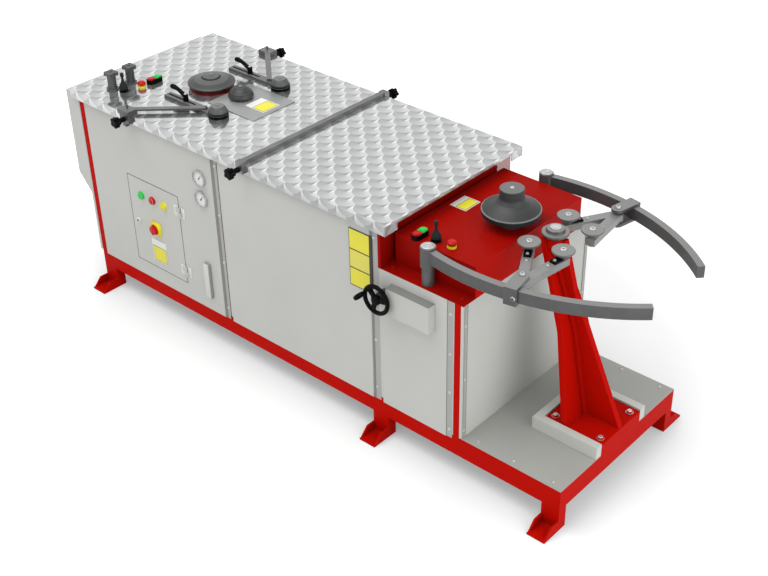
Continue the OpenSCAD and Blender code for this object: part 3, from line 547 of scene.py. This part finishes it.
# The raised edge round the foot of the pedestal is paler than the sheet that lies flat
sheet_level = 0.1945
floor_sheet = painted("floor_sheet", (168, 169, 164), 0.34, peel=0.03, wear=0.2, dust=0.05)
tree = floor_sheet.node_tree
raised = sums(tree, "GREATER_THAN", part(tree, "TexCoord", "Object", "Z"), sheet_level)
repaint(floor_sheet, raised, (204, 205, 200))
finish(floor_sheet, "floor_plate")


# Bolts of the seam station
# Bright zinc bolts hold the rolls, the brackets, the clamps and the pedestal: ring-shaped caps on the
# rollers, hexagon heads with washers and small socket heads. Screws in the frame's red paint hold the deck.
def round_off(bm, edges, by, steps=2):
    bmesh.ops.bevel(bm, geom=edges, offset=by, segments=steps, profile=0.5, affect="EDGES")


def block(low, high, rounding=0.0, steps=2):
    """Mesh of a box between two corners in mm, with rounded edges."""
    bm = bmesh.new()
    bmesh.ops.create_cube(bm, size=1.0)
    size = Vector(high) - Vector(low)
    middle = (Vector(high) + Vector(low)) / 2
    bmesh.ops.transform(bm, matrix=Matrix.Translation(middle) @ Matrix.Diagonal((*size, 1)), verts=bm.verts)
    if rounding:
        round_off(bm, bm.edges[:], rounding, steps)
    return bm


def cap_bolt(radius, height, socket=0.42, depth=2.5):
    """Round bolt head with a rounded rim and a socket in its middle."""
    return turned([(radius, 0), (radius, height * 0.6), (radius * 0.93, height * 0.88),
                   (radius * 0.84, height), (radius * socket, height),
                   (radius * socket * 0.9, height - depth), (0, height - depth)], 28)


def hex_bolt(radius, height):
    """Hexagon head on a round washer."""
    head = turned([(radius, height * 0.3), (radius, height * 0.9), (radius * 0.86, height), (0, height)], 6)
    washer = turned([(radius * 1.45, 0), (radius * 1.45, height * 0.3), (0, height * 0.3)], 28)
    return [head, washer]


def crown(node, down=0.0):
    """Middle of a CAD node, at its top or some way down from there."""
    low, high = span(node)
    return Vector(((low.x + high.x) / 2, (low.y + high.y) / 2, high.z - down))


def on_top(name, meshes, made, node, down=0.0):
    """Fit a piece that rides on the node whose crown it stands on."""
    fit(name, [placed(bm, crown(node, down)) for bm in meshes], made, node)


def pointing(way):
    """Turn about z that brings x to a direction."""
    return Matrix.Rotation(math.atan2(way.y, way.x), 4, "Z")


zinc = bright_metal("zinc", (205, 206, 204), 0.3)
for name in rollers:
    ring = turned([(4.6, 3.2), (4.6, 4.4), (6, 5), (10.6, 5), (12, 3.6), (12, 0), (4.6, 0)], 36, ring=True)
    on_top(name + "_cap", [ring], zinc, name, 3.1)
hub = turned([(20.4, -4.4), (20.4, 0.1), (18.6, 0.5), (0, 0.5)])
on_top("centre_roll_cap", [cap_bolt(9, 4.5), hub], zinc, "centre_roll")
on_top("cone_roll_bolt", [cap_bolt(8, 3.5)], zinc, "cone_roll")

bracket_shadow_pads = []
pivot_x, pivot_y = 101.3, 178.3
arm_centre_x, arm_centre_y = 2185.0, 498.77
clamp_face, clamp_bolt_side, clamp_bolt_level = 909.3, 12.0, 31.5
post_x, post_y = 1971, 361
for name, sign in (("near", -1), ("far", 1)):
    pivot = crown("roller_%s_a" % name) + Vector((pivot_x, sign * pivot_y, 0))
    bar_top = span("bracket_" + name)[1].z - 25
    heads, shadow_pads = [], []
    for letter in "ab":
        axis = crown("roller_%s_%s" % (name, letter))
        back = (pivot - axis).normalized()
        for reach, level, radius in ((44, 7.6, 5.6), (80, 0.2, 5.4)):
            bolt_at = axis + back * reach
            heads.append(placed(cap_bolt(radius, 5.4, 0.3, 1.5), (bolt_at.x, bolt_at.y, bar_top + level)))
        # A black pad on the bar under the roller, a painted shadow
        shadow_pad = block((8, -14.3, 0.1), (57, 14.3, 8), 1.2)
        shadow_pads.append(placed(shadow_pad, (axis.x, axis.y, bar_top), pointing(back)))
    fit("bracket_bolts_" + name, heads, zinc, "bracket_" + name)
    bracket_shadow_pads.append((name, shadow_pads))
    clamp_low, clamp_high = span("clamp_" + name)
    arm_centre = Vector((arm_centre_x, -sign * arm_centre_y, clamp_low.z + clamp_bolt_level))
    outward = Vector((pivot.x - arm_centre.x, pivot.y - arm_centre.y, 0)).normalized()
    aside = Vector((-outward.y, outward.x, 0)) * -sign * clamp_bolt_side
    face_bolt_at = arm_centre + outward * clamp_face + aside
    heads = [placed(cap_bolt(10, 9.4, 0.5, 5), (pivot.x, pivot.y, clamp_high.z - 8.4)),
             placed(cap_bolt(8.6, 5.2, depth=3.4), face_bolt_at, pointing(outward) @ to_end)]
    fit("clamp_bolts_" + name, heads, zinc, "clamp_" + name)
    post = Vector((post_x, sign * post_y, span("arm_" + name)[1].z))
    ring = turned([(25.6, -0.2), (25.6, 0.6), (24.4, 1.1), (13, 1.1), (12, 0.4), (0, 0.4)])
    fit("arm_cap_" + name, [placed(bm, post) for bm in (ring, cap_bolt(7, 4.2))], zinc,
        "arm_" + name)

stand_low, stand_high = span("floor_plate")
heads = [placed(bm, (x, y, stand_low.z + 50.1)) for x in (stand_high.x - 232, stand_high.x - 28)
         for y in (-100, 100) for bm in hex_bolt(10.6, 11.4)]
sheet_ends = (stand_low.x + 60, stand_low.x + 228, stand_high.x - 50)
heads += pan_screws(6.8, 5.2, [(x, y, stand_low.z + 2.8) for x in sheet_ends for y in (-365.5, 365.5)])
fit("stand_bolts", heads, zinc)
deck_ends = (right_low.x + 44, rear_high.x - 36)
heads = pan_screws(6.4, 4.2, [(x, y, right_high.z + 2.8) for x in deck_ends for y in (-360.5, 360.5)])
fit("deck_screws", heads, red_paint)


# Rubber and plastic
# Moulded black, red, green and yellow pieces: knobs, levers, boots, buttons, switch boxes
# and the handwheel. Fine grain in the mould, a little dust and rubbed edges.
def moulded(name, screen_tint, gloss, grain=0.05, coat=0.0, rub=0.25, shine=0.3):
    tint = colour(*screen_tint)
    others = {"Coat Weight": coat, "Coat Roughness": 0.05, "Specular IOR Level": shine}
    return skinned(name, (tinted(tint, 0.85), tint, tinted(tint, 0.8, 0.09)), (gloss, gloss + 0.1),
                   (0.0008, 220.0), (25.0, 1800.0), rub, 0.06, (grain, 0.0004), others)


black_plastic = moulded("black_plastic", (6, 6, 7), 0.42, rub=0.02, shine=0.05)
black_rubber = moulded("black_rubber", (34, 36, 37), 0.6, grain=0.1, rub=0.1, shine=0.15)
red_plastic = moulded("red_plastic", (200, 10, 11), 0.24, grain=0.02, rub=0.1, shine=0.2)
yellow_plastic = moulded("yellow_plastic", (240, 228, 36), 0.34, grain=0.02, rub=0.1, shine=0.15)
green_plastic = moulded("green_plastic", (48, 208, 88), 0.3, grain=0.02, rub=0.1, shine=0.15)
finish(black_plastic, "consoles", "knob_near", "knob_far", "stop_knob_near", "stop_knob_far")
finish(black_rubber, "stick_left", "stick_right")
finish(red_plastic, "stop_left", "stop_right", "estop_left", "estop_right")
finish(green_plastic, "start_left", "start_right")


# Rims of the rolls
# Black bands under the rolls: below the rim of the flanging disc and round the foot of its hub lie
# painted shadow lines; below the rim of the cone roll lies a black band, and round the foot of each
# guide head a black skirt. Bolts close their tops.
# A painted shadow line under the rim of the disc
band = turned([(96, 5.2), (97.9, 5.4), (97.9, 8.4), (96, 8.8)])
fit("disc_rim_painted_shadow", [placed(band, crown("disc_left", 48))], black_plastic)
band = turned([(98, 13), (111, 14), (112.8, 16.5), (112.8, 28), (110, 29)])
on_top("cone_band", [band], black_rubber, "cone_roll", 118)
lip = turned([(111.5, 30), (113.2, 30.4), (113.2, 32.4), (112.2, 33.6), (109.8, 34.2)], 72, ring=True)
on_top("cone_lip", [lip], pale_steel, "cone_roll", 118)
on_top("disc_bolt", [cap_bolt(8, 3, 0.4, 1.6)], pale_steel, "disc_left")
# A black ring as a painted shadow line at the foot of the disc's hub
hub_shadow_ring = turned([(38.6, -9.2), (42.2, -9.7), (41.6, -8.1), (38.4, -7.4)], ring=True)
on_top("disc_hub_painted_shadow", [hub_shadow_ring], black_rubber, "disc_left")
on_top("small_roll_bolt", [cap_bolt(9, 2.6, 0.4, 1.6)], pale_steel, "roll_left")
for side in ("near", "far"):
    skirt = turned([(37, 0.4), (40.4, 1), (41.9, 4), (41.9, 9), (40.4, 10.5), (37, 10.5)])
    on_top("head_skirt_" + side, [skirt], black_rubber, "head_" + side, 35)
    on_top("head_bolt_" + side, [cap_bolt(8, 2.4, 0.4, 1.4)], pale_steel, "head_" + side)


# Wear plate and slots
# A dull grey plate lies on the table behind the small roll, where the work moves across it. Under
# each slotted bar the table has a slot for the stud of the clamping lever, its dark floor painted shade.
wear_steel = brushed_steel("wear_plate_steel", (146, 147, 147), (160, 161, 161), 0.3, (4, 12, 12), 0.3)
table_level = span("table")[1].z
wear_x = crown("disc_left").x + 250
wear = block((wear_x - 140.6, -122.6, table_level - 2.8), (wear_x + 140.6, 122.6, table_level + 0.35), 0.6)
fit("wear_plate", [wear], wear_steel)
slots = [block((360, y - 9, table_level - 3.1), (548, y + 9, table_level - 2.75), 0.1) for y in (-186, 186)]
fit("table_slots", slots, moulded("slot_shadow", (14, 14, 15), 0.7))


# Clamping levers
# Black cast levers on threaded studs: a tapered hub, a handle that rises in a curve to a
# round end, and a bright bolt head in the top of the hub.
def walls(bm, loops):
    """Faces between each loop of vertices and the next one."""
    for one, two in zip(loops, loops[1:]):
        for k in range(len(one)):
            j = (k + 1) % len(one)
            bm.faces.new((one[k], one[j], two[j], two[k]))


def swept(path, sides=20):
    """Mesh of a round bar through (place, radius) stations in mm, with flat ends."""
    bm = bmesh.new()
    rings = []
    for k, (place, radius) in enumerate(path):
        onward = Vector(path[min(k + 1, len(path) - 1)][0]) - Vector(path[max(k - 1, 0)][0])
        side_way = onward.normalized().cross(Vector((0, 1, 0))).normalized()
        other_way = onward.normalized().cross(side_way)
        rings.append([bm.verts.new(Vector(place) + side_way * radius * x + other_way * radius * y)
                      for x, y in circle(sides)])
    walls(bm, rings)
    bm.faces.new(rings[0])
    bm.faces.new(rings[-1])
    return bm


def smooth_path(stations, steps=6):
    """Stations between the given (place, radius) ones, on a soft curve."""
    fine = []
    count = len(stations)
    for k in range(count - 1):
        around = [stations[min(max(k + d, 0), count - 1)] for d in (-1, 0, 1, 2)]
        points = [Vector((*place, radius)) for place, radius in around]
        for step in range(steps):
            t = step / steps
            blend = (points[1] * 2 + (points[2] - points[0]) * t
                     + (points[0] * 2 - points[1] * 5 + points[2] * 4 - points[3]) * t * t
                     + (points[1] * 3 - points[0] - points[2] * 3 + points[3]) * t * t * t) * 0.5
            fine.append((blend.to_3d(), blend.w))
    return fine + [stations[-1]]


handle = [((0, 0, 19), 9), ((-12, 0, 25), 10), ((-28, 0, 33), 8.8), ((-46, 0, 40), 8.8),
          ((-66, 0, 43.5), 10.4), ((-80, 0, 43.3), 10.8), ((-88, 0, 42.8), 8), ((-90.6, 0, 42.6), 2.8)]
for name in ("lever_near", "lever_far"):
    low, high = span(name)
    hub_at = Vector((high.x - 11, (low.y + high.y) / 2, low.z))
    hub = turned([(5.4, 0), (11.6, 0), (12, 3), (11.4, 14), (11.2, 26), (10, 30.4), (6.5, 31), (6.5, 30),
                  (0, 30)], 32)
    fit(name.replace("_", "_handle_"), [placed(bm, hub_at) for bm in (hub, swept(smooth_path(handle)))],
        black_plastic, name, [name])
    hub_at.z += 30.1
    fit(name.replace("_", "_bolt_"), [placed(cap_bolt(6.2, 3.2, 0.4, 1.8), hub_at)], zinc,
        name)


# Painted shadow pads and foot rings
# A black pad under each roller on its bracket is a painted shadow, and a black ring round the
# foot of each guide under its head is partly its black foot and partly a painted shadow.
for name, shadow_pads in bracket_shadow_pads:
    fit("bracket_shadow_pads_" + name, shadow_pads, black_plastic, "bracket_" + name)
    # The black ring is partly the guide's black foot and partly a painted shadow under its head
    foot_ring_and_shadow = turned([(42.02, 0.3), (43, 0.3), (43, 11), (42.02, 11.6)], ring=True)
    fit("guide_ring_and_shadow_" + name, [placed(foot_ring_and_shadow, crown("head_" + name, 47.5))], black_plastic,
        "guide_" + name)


# Electrical door
# A leaf of grey sheet on two hinges, with a dark seal round its edge, three signal lamps
# in bright rims, a key lock and the square yellow plate of the main switch.
def on_front(bm, place):
    """The mesh stood on the control side, at a place in mm."""
    return placed(bm, place, to_front)


def ring_plate(outer, inner, low, high):
    """Mesh of a flat ring between two outlines of as many (x, y) points, from z low to z high."""
    bm = bmesh.new()
    loops = [[bm.verts.new((x, y, z)) for x, y in edge] for edge, z in
             ((outer, low), (outer, high), (inner, high), (inner, low))]
    walls(bm, loops + loops[:1])
    return bm


def corners(low, high, inset=0.0):
    return [(low[0] + inset, low[1] + inset), (high[0] - inset, low[1] + inset),
            (high[0] - inset, high[1] - inset), (low[0] + inset, high[1] - inset)]


def hinge_leaves(low_x, high_x, screw_x):
    """One leaf of each hinge, with its two screws."""
    made = []
    for z in (leaf_low.z + 64, leaf_high.z - 72):
        made.append(block((low_x, sheet_y - 2.8, z - 28), (high_x, sheet_y + 0.2, z + 26), 1.2))
        made += pan_screws(3.6, 2.2, [(screw_x, sheet_y - 2.6, z + dz) for dz in (-18, 16)], to_front)
    return made


leaf_low, leaf_high = span("door")
sheet_y = front_low.y
edge_low, edge_high = (leaf_low.x - 0.4, leaf_low.z - 0.4), (leaf_low.x + 336.4, leaf_high.z + 0.4)
seal = ring_plate(corners(edge_low, edge_high), corners(edge_low, edge_high, 2.8), -0.5, 0.6)
seal_rubber = moulded("door_seal", (122, 123, 119), 0.6)
fitting_pale = bright_metal("pale_fittings", (232, 232, 229), 0.4, 0.1)
fit("door_seal", [on_front(seal, (0, sheet_y, 0))], seal_rubber, "door")
lens = [(18.6, 0), (19, 4), (18.6, 8.5), (17, 12.4), (14, 15.2), (8, 17), (0, 17.6)]
rim = [(18.4, 0), (18.4, 2.4), (19.6, 2.2), (20.2, 1.4), (20.2, 0)]
lamp_kinds = [("green", green_plastic, "green_plastic"), ("red", red_plastic, "red_plastic"),
              ("yellow", yellow_plastic, "yellow_plate")]
rims = []
for k, (tone, made, slot) in enumerate(lamp_kinds):
    lamp_at = (leaf_low.x + 89 + 74 * k, sheet_y, leaf_high.z - 79)
    fit("lamp_" + tone, [on_front(turned(lens), lamp_at)], made, "door")
    rims.append(on_front(turned(rim, ring=True), lamp_at))
lock_at = (leaf_low.x + 43, sheet_y, leaf_low.z + 214)
rims.append(on_front(turned([(13, 0), (13, 5), (12, 7.4), (6, 8), (5.6, 7.2), (0, 7.2)]), lock_at))
fit("door_fittings", rims + hinge_leaves(582, 611, 594), fitting_pale, "door")
lock_core = turned([(6.6, 7), (6.6, 8.6), (5.6, 9), (0, 9)], 24)
fit("lock_core", [on_front(lock_core, lock_at)], seal_rubber, "door")
finish(bright_metal("hinge_zinc", (196, 196, 193), 0.4, 0.3), "hinges")
fit("hinge_leaves", hinge_leaves(626.5, 650, 640), fitting_pale)

# The switch plate stands on the door; its red knob turns with the main switch
knob_low, knob_high = span("switch_knob")
knob_at = Vector(((knob_low.x + knob_high.x) / 2, knob_high.y, (knob_low.z + knob_high.z) / 2))
face = block((knob_at.x - 33, sheet_y - 6.4, knob_at.z - 33), (knob_at.x + 33, sheet_y, knob_at.z + 33), 3, 3)
collar = turned([(24.2, 0), (24.2, 7.6), (25.6, 8.6), (28.6, 8), (31, 4.4), (31.8, 0)], ring=True)
fit("switch_plate", [face, on_front(collar, (knob_at.x, sheet_y - 6.3, knob_at.z))], yellow_plastic,
    "door")
knob = turned([(9.7, 0.2), (9.7, 4.4), (22.8, 4.4), (23.6, 6), (23.6, 14), (22.6, 16), (20.6, 17), (20.2, 24),
               (18.6, 25.6), (0, 25.8)])
bar = block((-5, -21, 14), (5, 21, 27.6), 2, 3)
fit("main_switch_knob", [on_front(bm, knob_at) for bm in (knob, bar)], red_plastic,
    "switch_knob", ["switch_knob"])


# Blank labels and the long yellow plate
# The labels of the real machine are left blank: a white card with one yellow field in a
# thin dark outline. The long plate beside the deck has three yellow fields on a dark base; the broad
# dark margin at its right is a painted shadow of the plate's edge.
cards = {"machine": {}, "door": {}}


def card(body, size, fields, place, turn=None, base="white"):
    """Blank label of a size in mm, with (low, high, tone) fields, each in a dark outline."""
    layers = [((0, 0), size, base, 0.5)]
    for low, high, tone in fields:
        outline = corners(low, high, -2.2)
        layers += [(outline[0], outline[2], "dark", 0.7), (low, high, tone, 0.9)]
    for low, high, tone, level in layers:
        sheet = block((low[0], low[1], -0.1), (high[0], high[1], level), 0.15, 1)
        cards[body].setdefault(tone, []).append(placed(sheet, place, turn))


label_low, label_high = span("sign_plates")
card("door", (98, 114), [((8, 6), (90, 76), "yellow")],
     (leaf_low.x + 117, sheet_y - 1.5, leaf_low.z + 39), to_front)
card("machine", (111, 97), [((40, 7), (104, 90), "yellow")],
     (label_low.x, label_high.y - 97, label_high.z - 1))
card("machine", (78, 92), [((28, 6), (72, 86), "yellow")], (label_high.x - 78, label_high.y - 96, 930.3))
# Thin printed lines part the fields; the broad dark margin at the right is painted shadow
long_fields = [((3, 4), (102, 78), "yellow"), ((3, 83), (102, 160), "pale"), ((3, 165), (102, 249), "yellow")]
card("machine", (115, 252), long_fields, (1615, sheet_y - 2.6, label_low.z), to_front, "dark")
backing = block((1615.5, sheet_y - 2.6, label_low.z + 0.5), (1729.5, sheet_y, label_low.z + 251.5), 0.3)
card_tints = {"white": (236, 236, 233), "yellow": (238, 228, 58), "pale": (231, 222, 92),
              "dark": (44, 41, 20)}
card_paint = {tone: painted("card_" + tone, tint, 0.4 if tone == "dark" else 0.34)
              for tone, tint in card_tints.items()}
for body, tones in cards.items():
    for tone, sheets in tones.items():
        if body == "machine" and tone == "dark":
            sheets.append(backing)
        fit("label_%s_%s" % (body, tone), sheets, card_paint[tone], body,
            ["sign_plates"] if body == "machine" and tone == "yellow" else ())


# Gauges
# Two round pressure gauges with grey rims, white dials, plain ticks and a red hand, and
# below them a long sight gauge in a folded case with a paler front; the case is painted darker
# than the front, painted shade on its sides.
def plate(outline, low, high, rounding=0.0):
    """Mesh of a flat plate: an outline of (x, y) points in mm from z low to z high."""
    bm = bmesh.new()
    base, top = ([bm.verts.new((x, y, z)) for x, y in outline] for z in (low, high))
    bm.faces.new(base[::-1])
    cap = bm.faces.new(top)
    walls(bm, [base, top])
    if rounding:
        round_off(bm, cap.edges[:], rounding)
    return bm


def spin(degrees):
    return Matrix.Rotation(math.radians(degrees), 4, "Z")


gauge_low, gauge_high = span("gauges")
rim_grey = bright_metal("gauge_rim", (184, 188, 186), 0.34, 0.3)
# The case is painted darker than its front, painted shade on its sides
case_shade_grey = painted("gauge_case", (150, 151, 147), 0.45)
cases, dials, ticks, hands = [], [], [], []
for z in (gauge_high.z - 36, gauge_high.z - 134):
    centre = Vector((gauge_low.x + 36, gauge_high.y, z))
    case = turned([(36.6, 0), (36.6, 8), (36, 12), (34.8, 13.6), (33.6, 13), (33.2, 4), (0, 4)])
    cases.append(on_front(case, centre))
    dials.append(on_front(turned([(33, 4.1), (33, 5), (0, 5)]), centre))
    for k in range(11):
        tick = block((-0.7, 23, 5), (0.7, 29.5 - 2 * (k % 2), 5.4))
        ticks.append(placed(tick, centre, to_front @ spin(135 - 27 * k)))
    hand = plate([(-1.2, -8), (1.2, -8), (0.5, 24), (-0.5, 24)], 6, 6.8)
    hands += [placed(hand, centre, to_front @ spin(-38)),
              on_front(turned([(3, 5), (3, 7.4), (0, 7.8)], 16), centre)]
case_low = Vector((gauge_low.x + 11, gauge_low.y, gauge_low.z))
case_high = Vector((gauge_low.x + 46, gauge_high.y, gauge_low.z + 175))
face_high = (case_high.x - 5, case_low.y + 3, case_high.z - 1)
face = block(case_low + Vector((-0.3, -0.8, 1)), face_high, 1.6, 3)
fit("gauge_cases", cases, rim_grey, replaces=["gauges"])
fit("gauge_dials", dials, moulded("gauge_dial", (240, 240, 238), 0.12, grain=0.0, coat=0.8))
fit("gauge_ticks", ticks, black_plastic)
fit("gauge_hands", hands, moulded("gauge_hand", (130, 24, 22), 0.4))
fit("sight_gauge", [block(case_low, case_high, 3, 3)], case_shade_grey)
fit("sight_gauge_face", [face], painted("gauge_face", (216, 217, 213), 0.4))


# Joint strips
# Each joint between two front sheets is closed by a strip that lies back in a shadow line, painted
# as a dark strip; a thin line of the frame shows beside the first one, its red painted darker as
# painted shade. The end sheet has such strips too.
def front_strip(low_x, high_x, out, top):
    """Thin strip in a joint of the front sheets, up to their top edge."""
    return block((low_x, strip_face + out, foot_level + 3), (high_x, strip_face + 0.4, top - 1), 0.1, 1)


def end_strip(low_y, high_y, out):
    """Thin strip on an edge of the end sheet."""
    end = rear_high.x
    return block((end - 0.6, low_y, foot_level + 6), (end + out, high_y, right_high.z - 2), 0.1, 1)


shadow_grey = painted("joint_shadow", (128, 129, 124), 0.5)
strip_grey = painted("joint_strip", (172, 173, 169), 0.4)
# The frame's red, painted darker as the shade in the joint
shaded_line_red = painted("joint_red_painted_shade", (92, 12, 8), 0.5, shine=0.1)
shadows, bands = [], []
for x, dark, wide, top in ((mid_low.x - 61, 30, 44, front_high.z), (right_low.x - 38, 13, 38, mid_high.z),
                           (right_high.x - 34.5, 4.5, 30, right_high.z)):
    shadows.append(front_strip(x, x + dark, -0.5, top))
    bands.append(front_strip(x + dark, x + wide, -0.3, top))
for y in (mid_low.y + 6, rear_high.y - 22):
    bands.append(end_strip(y, y + 16, 0.4))
    shadows.append(end_strip(y + 14, y + 17, 0.6))
fit("joint_shadows", shadows, shadow_grey)
fit("joint_bands", bands, strip_grey)
fit("joint_line", [front_strip(mid_low.x - 14, mid_low.x - 10.6, -0.4, front_high.z)], shaded_line_red)

# The cover box has a flange on the sheet, a folded lid with a seam, and two screws. The lid is in
# the grey of the joint shadows, painted shade on the top of the box.
low, high = span("cover_box")
flange = block((low.x - 3, sheet_y - 1, low.z - 2), (high.x + 2, sheet_y + 0.2, high.z + 4), 0.4)
lid = block((low.x - 1, low.y - 1, high.z - 0.5), (high.x + 1, sheet_y, high.z + 1.6), 0.5)
lid_screws = [(high.x - 0.2, sheet_y - 18, z) for z in (low.z + 14, high.z - 18)]
fit("cover_flange", [flange], strip_grey)
fit("cover_lid", [lid], shadow_grey)
fit("cover_screws", pan_screws(4.6, 2.6, lid_screws, to_end), zinc)


# Handwheel
# Moulded black wheel: a round rim on three broad spokes, a domed hub and, near the rim,
# a pin with a barrel grip that turns on it.
wheel_low, wheel_high = span("handwheel")
wheel_at = Vector((wheel_high.x - 64.5, wheel_high.y - 10, (wheel_low.z + wheel_high.z) / 2))
wheel = [turned([(56 + 8.8 * x, 8.4 * y) for x, y in circle(18)], 64, ring=True),
         turned([(0, 9.2), (8.3, 9.2), (8.3, -10), (18, -10), (20.4, -7), (20.4, 5), (18, 9), (12, 11.4),
                 (0, 12)], 40)]
spoke = [(9, -11), (22, -9.6), (40, -8), (54, -10), (54, 10), (40, 8), (22, 9.6), (9, 11)]
wheel += [placed(plate(spoke, -4.6, 5, 2), (0, 0, 0), spin(degrees)) for degrees in (12, 132, 252)]
pin_at = spin(168) @ Vector((56, 0, 0))
wheel.append(placed(turned([(4, 0), (4, 51), (3.4, 52), (0, 52)], 24), pin_at))
fit("wheel_rim", [on_front(bm, wheel_at) for bm in wheel], black_plastic, "handwheel",
    ["handwheel"])
grip = turned([(0, 53.2), (4.4, 53.2), (4.4, 9.2), (7.6, 9.2), (8.8, 11), (10.2, 22), (10.8, 36), (10.2, 48),
               (8.4, 55.6), (5, 58), (0, 58)], 36)
fit("wheel_grip", [on_front(placed(grip, pin_at), wheel_at)], black_plastic, "crank_grip",
    ["crank_grip"])


# Push buttons and emergency stops
# Each black box has a red and a green half-round rim round its two buttons, and each
# mushroom button stands on a yellow collar.
def half_round(side, way):
    """Point of the half-round outline of a switch box in a direction from its button."""
    low, high = 0.0, 60.0
    for _ in range(24):
        out = (low + high) / 2
        x, y = way[0] * out, 18 + way[1] * out
        inside = abs(x) <= 15.9 and 1.6 <= y and (y <= 20 or math.hypot(x, y - 20) <= 15.9)
        low, high = (out, high) if inside else (low, out)
    return way[0] * low, side * (18 + way[1] * low)


collars, box_places = [], []
for start, stop in (("start_left", "estop_left"), ("start_right", "estop_right")):
    button_at, stop_at = crown(start), crown(stop)
    level = span(start)[0].z + 7.5
    box_places.append((button_at.x, button_at.y - 18, level))
    collar = turned([(15.3, 0), (17.8, 0), (17.8, 6.2), (16.6, 8.6), (9, 8.6), (9, 8.2), (15.3, 8.2)], 40,
                    ring=True)
    collars.append(placed(collar, (stop_at.x, stop_at.y, level - 19.9)))
for name, side, made in (("stop_rims", -1, red_plastic), ("start_rims", 1, green_plastic)):
    outer = [half_round(side, way) for way in circle(48)]
    inner = [(14.3 * x, side * (18 + 14.3 * y)) for x, y in circle(48)]
    rims = [placed(ring_plate(outer, inner, -0.3, 2.2), place) for place in box_places]
    fit(name, rims, made)
fit("estop_collars", collars, yellow_plastic)


# Switchgear behind the door
# Four contactors and two larger drives on the back plate of the cupboard, black fronts
# with bright terminal screws, seen only when the door stands open.
back_low, back_high = span("ebox")
fronts, terminals = [], []
for k in range(4):
    x, y, z = back_low.x + 72 + 52 * k, back_low.y + 106, back_high.z - 182
    fronts.append(block((x + 2, y - 5, z + 14), (x + 40, y + 1, z + 66), 2))
    fronts.append(block((x + 12, y - 10, z + 28), (x + 30, y - 4, z + 52), 1.4))
    places = [(x + dx, y - 0.2, z + dz) for dx in (9, 21, 33) for dz in (7, 73)]
    terminals += pan_screws(3.6, 2, places, to_front)
for k in range(2):
    x, y, z = back_low.x + 78 + 106 * k, back_low.y + 86, back_low.z + 96
    fronts.append(block((x + 8, y - 4, z + 30), (x + 82, y + 1, z + 92), 3))
    terminals += pan_screws(3.8, 2.2, [(x + 15 + 20 * j, y - 0.2, z + 14) for j in range(4)], to_front)
fit("switchgear_fronts", fronts, black_plastic)
fit("switchgear_screws", terminals, zinc)
